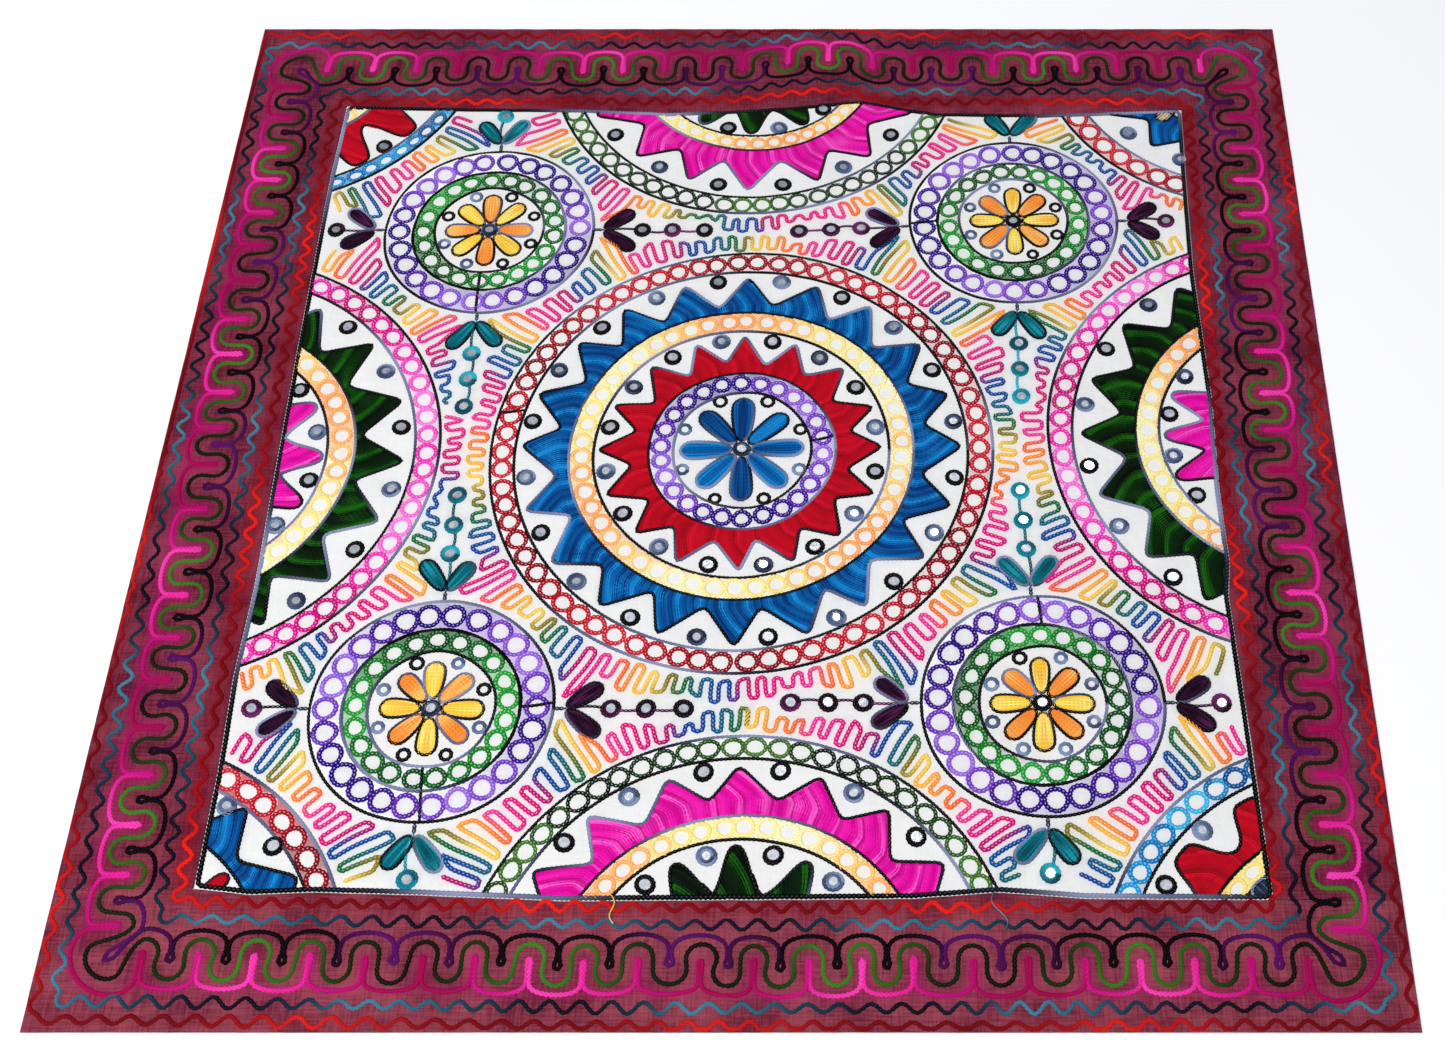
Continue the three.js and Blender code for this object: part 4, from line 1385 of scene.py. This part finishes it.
def meander(of, random):
    """The strokes round one large medallion, as routes of strokes that follow on each other."""
    start_radius = RIM[of] + MEANDER_CLEARANCE
    step = math.degrees(STROKE_PITCH / (start_radius + PITCH_MEASURED))
    count = round(360 / step / 2) * 2
    angles = np.arange(count) * 360 / count + 90 + random.uniform(-0.18, 0.18, count) * step
    radii = np.arange(start_radius, start_radius + LONGEST_STROKE, STROKE_STEP)
    free = free_for_strokes(of, on_circle(MEDALLIONS[of], radii[None, :], angles[:, None]))
    blocked = np.where(free.all(axis=1), len(radii) - 1, np.argmin(free, axis=1))
    starts_free = free[:, 0]
    far = radii[np.maximum(blocked - 1, 0)]
    routes, route = [], []
    for number in range(count + 1):
        place = number % count
        if not starts_free[place] or far[place] - start_radius < SHORTEST_STROKE:
            routes.append(route)
            route = []
            continue
        inner = on_circle(MEDALLIONS[of], start_radius + random.uniform(-1.5, 1.5), angles[place])
        outer = on_circle(MEDALLIONS[of], far[place] - random.uniform(0, 3), angles[place])
        route += [inner, outer] if place % 2 == 0 else [outer, inner]
    routes.append(route)
    return [np.array(route) for route in routes if len(route) >= 2 * FEWEST_STROKES]


random = np.random.default_rng(57)
meander_lines = []
for of in LARGE:
    for route in meander(of, random):
        even = spaced(route, 1.0)
        curved = softened(even, 9)
        bent = curved + 0.8 * np.column_stack([np.sin(curved[:, 1] / 7), np.sin(curved[:, 0] / 8)])
        meander_lines.append(stitched(bent, "ground", 4.5, 1.35, random.uniform(0, 440)))
sew("ground_meander", on_panel(meander_lines, MEANDER_MARGIN), yarn_on_white)

# The panel's outline
# A line of chain stitch in black and grey yarn runs all round, just inside the panel's seam, and covers
# the ends of the lines that stop there.
EDGE_INSET = 2.4  # from the seam to the line's middle


def panel_edge(inset):
    """A route round the panel, drawn in from its seams, clockwise from the far left corner."""
    top = [(row["along"], row["out"] - inset) for row in SEAMS["top"]]
    right = [(row["out"] - inset, row["along"]) for row in SEAMS["right"][::-1]]
    bottom = [(row["along"], -row["out"] + inset) for row in SEAMS["bottom"][::-1]]
    left = [(-row["out"] + inset, row["along"]) for row in SEAMS["left"]]
    top[0] = (top[0][0] + inset, top[0][1])
    top[-1] = (top[-1][0] - inset, top[-1][1])
    bottom[0] = (bottom[0][0] - inset, bottom[0][1])
    bottom[-1] = (bottom[-1][0] + inset, bottom[-1][1])
    route = np.array(top + right[1:-1] + bottom + left[1:-1], dtype=float)
    return softened(spaced(route, 3.0, True), 1, True)


edge_line = stitched(panel_edge(EDGE_INSET), "outline", 4.7, 1.6, 40, closed=True)
sew("panel_outline", [edge_line], yarn_dense)

# The border's needlework
# Seven lines run round the maroon border: two waved lines, a row of scallops with doubled hooks, a deep
# meander, scallops that face the other way, and two waved lines again beside the seam. They were worked
# along the seam and wander with it. Offsets are outwards from the pattern's own middle line.
PATTERN_INSET = 52.5  # from the cloth's edge to the pattern's middle line
PATTERN_CORNER = 26
WAVES_PER_SIDE = 22
BORDER_LINE = 4.2
ROUND_SPACING = 1.0


def square_route(inset, corner):
    """Distances, places and outward directions along a square with round corners, then two lengths."""
    side = HALF_SIDE - inset - corner
    arc = math.pi / 2 * corner
    quarter = 2 * side + arc
    along = np.arange(0, 4 * quarter, ROUND_SPACING)
    places, outward = np.zeros((len(along), 2)), np.zeros((len(along), 2))
    turns = [((0, 1), (1, 0)), ((-1, 0), (0, 1)), ((0, -1), (-1, 0)), ((1, 0), (0, -1))]
    for number, (tangent, normal) in enumerate(turns):
        tangent, normal = np.array(tangent), np.array(normal)
        here = (along >= number * quarter) & (along < (number + 1) * quarter)
        s = along[here] - number * quarter
        straight = np.minimum(s, 2 * side)[:, None]
        turn = (np.maximum(s - 2 * side, 0) / corner)[:, None]
        direction = normal * np.cos(turn) + tangent * np.sin(turn)
        outward[here] = direction
        places[here] = normal * side + tangent * (straight - side) + corner * direction
    return along, places, outward, 4 * quarter, quarter


# How far out of its usual place the pattern runs: along which side, and at what distance along it.
DRIFT = {
    "top": [
        {"along": -440, "out": -3}, {"along": -107, "out": -3}, {"along": -60, "out": -2},
        {"along": -13, "out": 1}, {"along": 22, "out": 8}, {"along": 58, "out": 12.5},
        {"along": 82, "out": 10}, {"along": 108, "out": 1}, {"along": 126, "out": -3},
        {"along": 440, "out": -3},
    ],
    "bottom": [
        {"along": -440, "out": -2}, {"along": -40, "out": 3}, {"along": 90, "out": 3},
        {"along": 440, "out": 2},
    ],
    "left": [
        {"along": -440, "out": 2}, {"along": -260, "out": 3}, {"along": 60, "out": 8},
        {"along": 440, "out": 9},
    ],
    "right": [
        {"along": -440, "out": 2}, {"along": -190, "out": 3}, {"along": -20, "out": -3},
        {"along": 190, "out": 0}, {"along": 440, "out": 2},
    ],
}
CORNER_BLEND = 90  # over which one side's drift passes into the next one's
EDGE_ROOM = 0.4  # from a line of stitches to the cloth's edge


def beside_seam(places):
    """Moves places in or out as the pattern wanders, and keeps them on the cloth."""
    x, y = places[:, 0], places[:, 1]
    lean = np.abs(x) - np.abs(y)
    aside = np.where(x > 0, out_at(DRIFT["right"], y), out_at(DRIFT["left"], y))
    across = np.where(y > 0, out_at(DRIFT["top"], x), out_at(DRIFT["bottom"], x))
    move_x = np.sign(x) * aside * np.clip((lean + CORNER_BLEND) / CORNER_BLEND, 0, 1)
    move_y = np.sign(y) * across * np.clip((CORNER_BLEND - lean) / CORNER_BLEND, 0, 1)
    limit = HALF_SIDE - BORDER_LINE / 2 - EDGE_ROOM
    return np.clip(places + np.column_stack([move_x, move_y]), -limit, limit)


WAVED_CORNER = 8


def waved_line(row, random):
    """A line that waves round the border, about evenly."""
    along, places, outward, total, quarter = square_route(PATTERN_INSET - row["offset"], WAVED_CORNER)
    waves = 4 * round(quarter / row["wave"])
    turn = 2 * np.pi * along / total
    drift = 1.1 * np.sin(9 * turn + random.uniform(0, 6)) + 0.7 * np.sin(4 * turn + random.uniform(0, 6))
    deep = row["depth"] / 2 * (1 + 0.2 * np.sin(12 * turn + random.uniform(0, 6)))
    swing = deep * np.sin(2 * np.pi * (along / total * waves) + drift)
    route = beside_seam(places + outward * swing[:, None])
    return stitched(route, row["thread"], row["width"], 1.5, row["start"], closed=True)


# wave: the length of a wave, and depth its height. start: how far along the yarn the line begins.
WAVED = [
    {"offset": 45.5, "wave": 24, "depth": 7, "width": 4.0, "thread": "edge_red", "start": 120},
    {"offset": 32, "wave": 22.5, "depth": 7.5, "width": 3.7, "thread": "teal_navy", "start": 30},
    {"offset": -31, "wave": 22, "depth": 7, "width": 3.7, "thread": "teal_navy", "start": 180},
    {"offset": -44.5, "wave": 21, "depth": 7, "width": 4.2, "thread": "seam_red", "start": 60},
]
random = np.random.default_rng(71)
sew("border_waves", [waved_line(row, random) for row in WAVED], yarn_on_maroon, "border")

round_along, round_places, round_outward, round_total, round_quarter = square_route(
    PATTERN_INSET, PATTERN_CORNER
)
WAVE = round_quarter / WAVES_PER_SIDE
FIRST_CORNER = round_quarter - math.pi / 4 * PATTERN_CORNER


def near_corner(distance):
    """1 at the middle of a corner, falling to 0 within most of a wave."""
    off = np.abs((distance - FIRST_CORNER + round_quarter / 2) % round_quarter - round_quarter / 2)
    return np.clip(1 - off / (0.8 * WAVE), 0, 1)


def on_border(rows):
    """The route through rows of a distance round the border and an offset from its middle line.

    Away from the corners the waves were worked a little closer or wider, and further in or out.
    """
    rows = np.array(rows)
    turn = 2 * np.pi * rows[:, 0] / round_total
    calm = np.sin(np.pi * (rows[:, 0] - FIRST_CORNER) / round_quarter) ** 2
    hurried = 1.7 * np.sin(35 * turn) + 2.4 * np.sin(14 * turn)
    strayed = 0.9 * np.sin(23 * turn)
    at = np.mod(rows[:, 0] + calm * hurried, round_total)
    base = [np.interp(at, round_along, round_places[:, i], period=round_total) for i in (0, 1)]
    out = [np.interp(at, round_along, round_outward[:, i], period=round_total) for i in (0, 1)]
    offset = rows[:, 1:] + (calm * strayed)[:, None]
    return beside_seam(np.column_stack(base) + np.column_stack(out) * offset)


MEANDER_DEPTH = 15.7  # from its middle line to the outside of its turns


def deep_meander(depth, random):
    """Round turns out and in, joined by straight legs. The turns at the corners reach further out."""
    rows = []
    bow = np.radians(np.linspace(-12, 192, 11))
    for number in range(4 * WAVES_PER_SIDE):
        crest = FIRST_CORNER + number * WAVE + random.uniform(-0.8, 0.8)
        trough = FIRST_CORNER + (number + 0.5) * WAVE + random.uniform(-0.8, 0.8)
        turn = WAVE / 4 * random.uniform(1.0, 1.08)
        reach = (1 + 0.6 * near_corner(crest)) * random.uniform(0.95, 1.03)
        for angle in bow[::-1]:
            at = crest + turn * np.cos(angle)
            rows.append((at, reach * depth - turn * (1 - np.sin(angle))))
        for angle in bow:
            at = trough - turn * np.cos(angle)
            rows.append((at, -depth + turn * (1 - np.sin(angle))))
    return softened(spaced(on_border(rows), 1.2, True), 4, True)


# hook_at: where the hooks stand, as a share of a wave from a corner. tip, foot and crest: offsets of a
# hook's tip, of the place where it leaves the arcs, and of the arcs' crest. spread: half the width of a
# hook's tip. flat: below 1 for arcs with flatter crests. corner: what a corner adds to those offsets.
SCALLOPS = {
    "pink": {"hook_at": 0.5, "tip": -6, "foot": 13, "crest": 22.5, "spread": 1.5, "flat": 0.75,
             "corner_tip": 0, "corner_foot": 3, "corner_crest": 12},
    "black_purple": {"hook_at": 0.0, "tip": 3, "foot": -11, "crest": -22.5, "spread": 2.9, "flat": 0.85,
                     "corner_tip": 9, "corner_foot": -8, "corner_crest": -1},
}


def scallops(row, random):
    """Arcs that meet in doubled hooks."""
    rows = []
    bow = np.radians(np.linspace(0, 180, 15))
    for number in range(4 * WAVES_PER_SIDE):
        left = FIRST_CORNER + (number + row["hook_at"]) * WAVE
        middle, half = left + WAVE / 2, WAVE / 2 - 0.9
        crest = row["crest"] + row["corner_crest"] * near_corner(middle) + random.uniform(-0.8, 0.8)
        foot = row["foot"] + row["corner_foot"] * near_corner(middle - half * np.cos(bow))
        flat = row["flat"] + (1 - row["flat"]) * near_corner(middle)
        rows += list(zip(middle - half * np.cos(bow), foot + (crest - foot) * np.sin(bow) ** flat))
        right = left + WAVE
        tip = row["tip"] + row["corner_tip"] * near_corner(right) + random.uniform(-1.5, 1.5)
        low = row["foot"] + row["corner_foot"] * near_corner(right)
        for share, aside in ((0.35, -0.8), (0.8, -row["spread"]), (1, 0), (0.8, row["spread"]), (0.35, 0.8)):
            rows.append((right + aside, low + (tip - low) * share))
    return softened(spaced(on_border(rows), 1.0, True), 3, True)


border_lines = {
    thread: stitched(scallops(row, random), thread, BORDER_LINE, 1.5, 200, closed=True)
    for thread, row in SCALLOPS.items()
}
meander_route = deep_meander(MEANDER_DEPTH, random)
border_lines["green"] = stitched(meander_route, "green", BORDER_LINE, 1.6, 60, closed=True)
sew("border_scrolls", [border_lines["green"], border_lines["pink"]], yarn_on_maroon, "border")
sew("border_black_scallops", [border_lines["black_purple"]], black_on_maroon, "border")

# Bled dye
# The strong pinks, purples, blues and reds have run a little when the cloth was damp, so the cotton round
# their stitches is tinted. The tint of a place is the mean of the dyes within reach, by their readiness.
BLEED_CELL = 2.0
BLEED = {
    "panel": {"spread": 1.2, "strength": 0.34},
    "border": {"spread": 1.8, "strength": 0.75},
}
BLEED_REACH = 8  # cells
BLEED_ONSET = 4  # the higher, the sooner a tint comes to its full strength
NEAR_STRIP_BLEED = 0.6  # the near strip's share of the border's strength


def bled_field(lines, spread):
    """The mean dye and its strength over a square grid of cells, blurred by a number of cells."""
    size = int(2 * HALF_SIDE / BLEED_CELL) + 1
    field = np.zeros((size, size, 4))
    for line in lines:
        thread = THREADS[line["thread"]]
        if thread["bleed"] > 0:
            route = spaced(line["route"], BLEED_CELL, line["closed"])
            dye = yarn(line["thread"], line["start"] + BLEED_CELL * np.arange(len(route)))
            if "stain" in thread:
                dye = np.tile(dye_colour(thread["stain"]), (len(route), 1))
            column, row = np.clip(((route + HALF_SIDE) / BLEED_CELL).round().astype(int).T, 0, size - 1)
            np.add.at(field, (row, column), dye * thread["bleed"])
    offsets = np.arange(-BLEED_REACH, BLEED_REACH + 1)
    weights = np.exp(-0.5 * (offsets / spread) ** 2)
    weights /= weights.sum()
    for axis in (0, 1):
        field = sum(weight * np.roll(field, offset, axis) for offset, weight in zip(offsets, weights))
    return field


def bleed_into(piece, lines, row):
    """Tints a cloth with the dyes of the lines sewn on it."""
    field = bled_field(lines, row["spread"])
    places = np.zeros(len(piece.data.vertices) * 3, dtype=np.float32)
    piece.data.vertices.foreach_get("co", places)
    column, line = ((places.reshape(-1, 3)[:, :2] / MM + HALF_SIDE) / BLEED_CELL).round().astype(int).T
    found = field[np.clip(line, 0, len(field) - 1), np.clip(column, 0, len(field) - 1)]
    tint = found[:, :3] / np.maximum(found[:, 3:], 1e-4)
    strength = row["strength"] * (1 - np.exp(-BLEED_ONSET * found[:, 3:]))
    dye = np.hstack([tint, strength])
    piece.data.color_attributes["dye"].data.foreach_set("color", dye.astype(np.float32).ravel())


bleed_into(centre_panel, SEWN["panel"], BLEED["panel"])
for node, strip in strips.items():
    share = NEAR_STRIP_BLEED if node == "border_bottom" else 1.0
    bleed_into(strip, SEWN["border"], {**BLEED["border"], "strength": BLEED["border"]["strength"] * share})

# Loose ends
# Two ends of yarn were never cut off. A yellow one and a grey one, single strands, lie over the near seam
# and curl a little.
LOOSE_STEPS = 12
LOOSE_ENDS = [
    {"from": (-88, -404), "to": (-84, -427), "thread": "gold", "sway": 2.5},
    {"from": (201, -402), "to": (208, -432), "thread": "ring_grey", "sway": -4},
]
loose = []
for row in LOOSE_ENDS:
    share = np.linspace(0, 1, LOOSE_STEPS)[:, None]
    straight = np.array(row["from"]) * (1 - share) + np.array(row["to"]) * share
    swayed = row["sway"] * np.sin(2 * np.pi * share[:, 0])
    route = straight + np.column_stack([swayed, np.zeros(LOOSE_STEPS)])
    loose.append(stitched(route, row["thread"], 1.1, 0.8, lift=1.2, link=2.0))
sew("loose_ends", loose, yarn_on_maroon, "border")

floor_mesh = bpy.data.meshes.new("floor")
floor_corners = [(-6, -6, 0), (6, -6, 0), (6, 6, 0), (-6, 6, 0)]
floor_mesh.from_pydata(floor_corners, [], [(0, 1, 2, 3)])
floor = bpy.data.objects.new("floor", floor_mesh)
scene.collection.objects.link(floor)
pale, _, floor_shader = new_material("pale_floor")
floor_shader.inputs["Base Color"].default_value = (1, 1, 1, 1)
floor_shader.inputs["Roughness"].default_value = 0.85
floor_mesh.materials.append(pale)

world = bpy.data.worlds.new("studio")
scene.world = world
world.use_nodes = True
sky = world.node_tree
direction = sky.nodes.new("ShaderNodeTexCoord")
height = sky.nodes.new("ShaderNodeSeparateXYZ")
sky.links.new(direction.outputs["Generated"], height.inputs[0])
ceiling = sky.nodes.new("ShaderNodeMapRange")
ceiling.inputs["From Min"].default_value = 0.66
ceiling.inputs["From Max"].default_value = 0.97
sky.links.new(height.outputs["Z"], ceiling.inputs["Value"])
walls, lamps = (0.36, 0.37, 0.4, 1), (1.15, 1.16, 1.2, 1)
room_light = blend_of(sky, ceiling.outputs["Result"], walls, lamps)
sky.links.new(room_light, sky.nodes["Background"].inputs["Color"])
sky.nodes["Background"].inputs["Strength"].default_value = 0.94


def softbox(name, place, size, power, colour):
    """A square lamp aimed at the middle of the cloth."""
    lamp = bpy.data.lights.new(name, "AREA")
    lamp.shape = "SQUARE"
    lamp.size = size
    lamp.energy = power
    lamp.color = colour
    holder = bpy.data.objects.new(name, lamp)
    scene.collection.objects.link(holder)
    holder.location = place
    aim = -np.array(place) / np.linalg.norm(place)
    holder.rotation_euler = (math.acos(-aim[2]), 0, math.atan2(-aim[0], aim[1]))
    return holder


softbox("key_softbox", place=(-1.4, -1.5, 2.4), size=1.4, power=54, colour=(1.0, 0.985, 0.985))
softbox("far_softbox", place=(0.3, 1.3, 2.9), size=0.6, power=9, colour=(1.0, 1.0, 1.0))

camera_data = bpy.data.cameras.new("camera")
camera = bpy.data.objects.new("camera", camera_data)
scene.collection.objects.link(camera)
camera_data.sensor_width = 36
camera_data.lens = 46.08
camera_data.shift_x = -0.116
camera.location = (0.1225, -0.8906, 1.335)
camera.rotation_euler = (math.radians(31.16), 0, 0)
scene.camera = camera
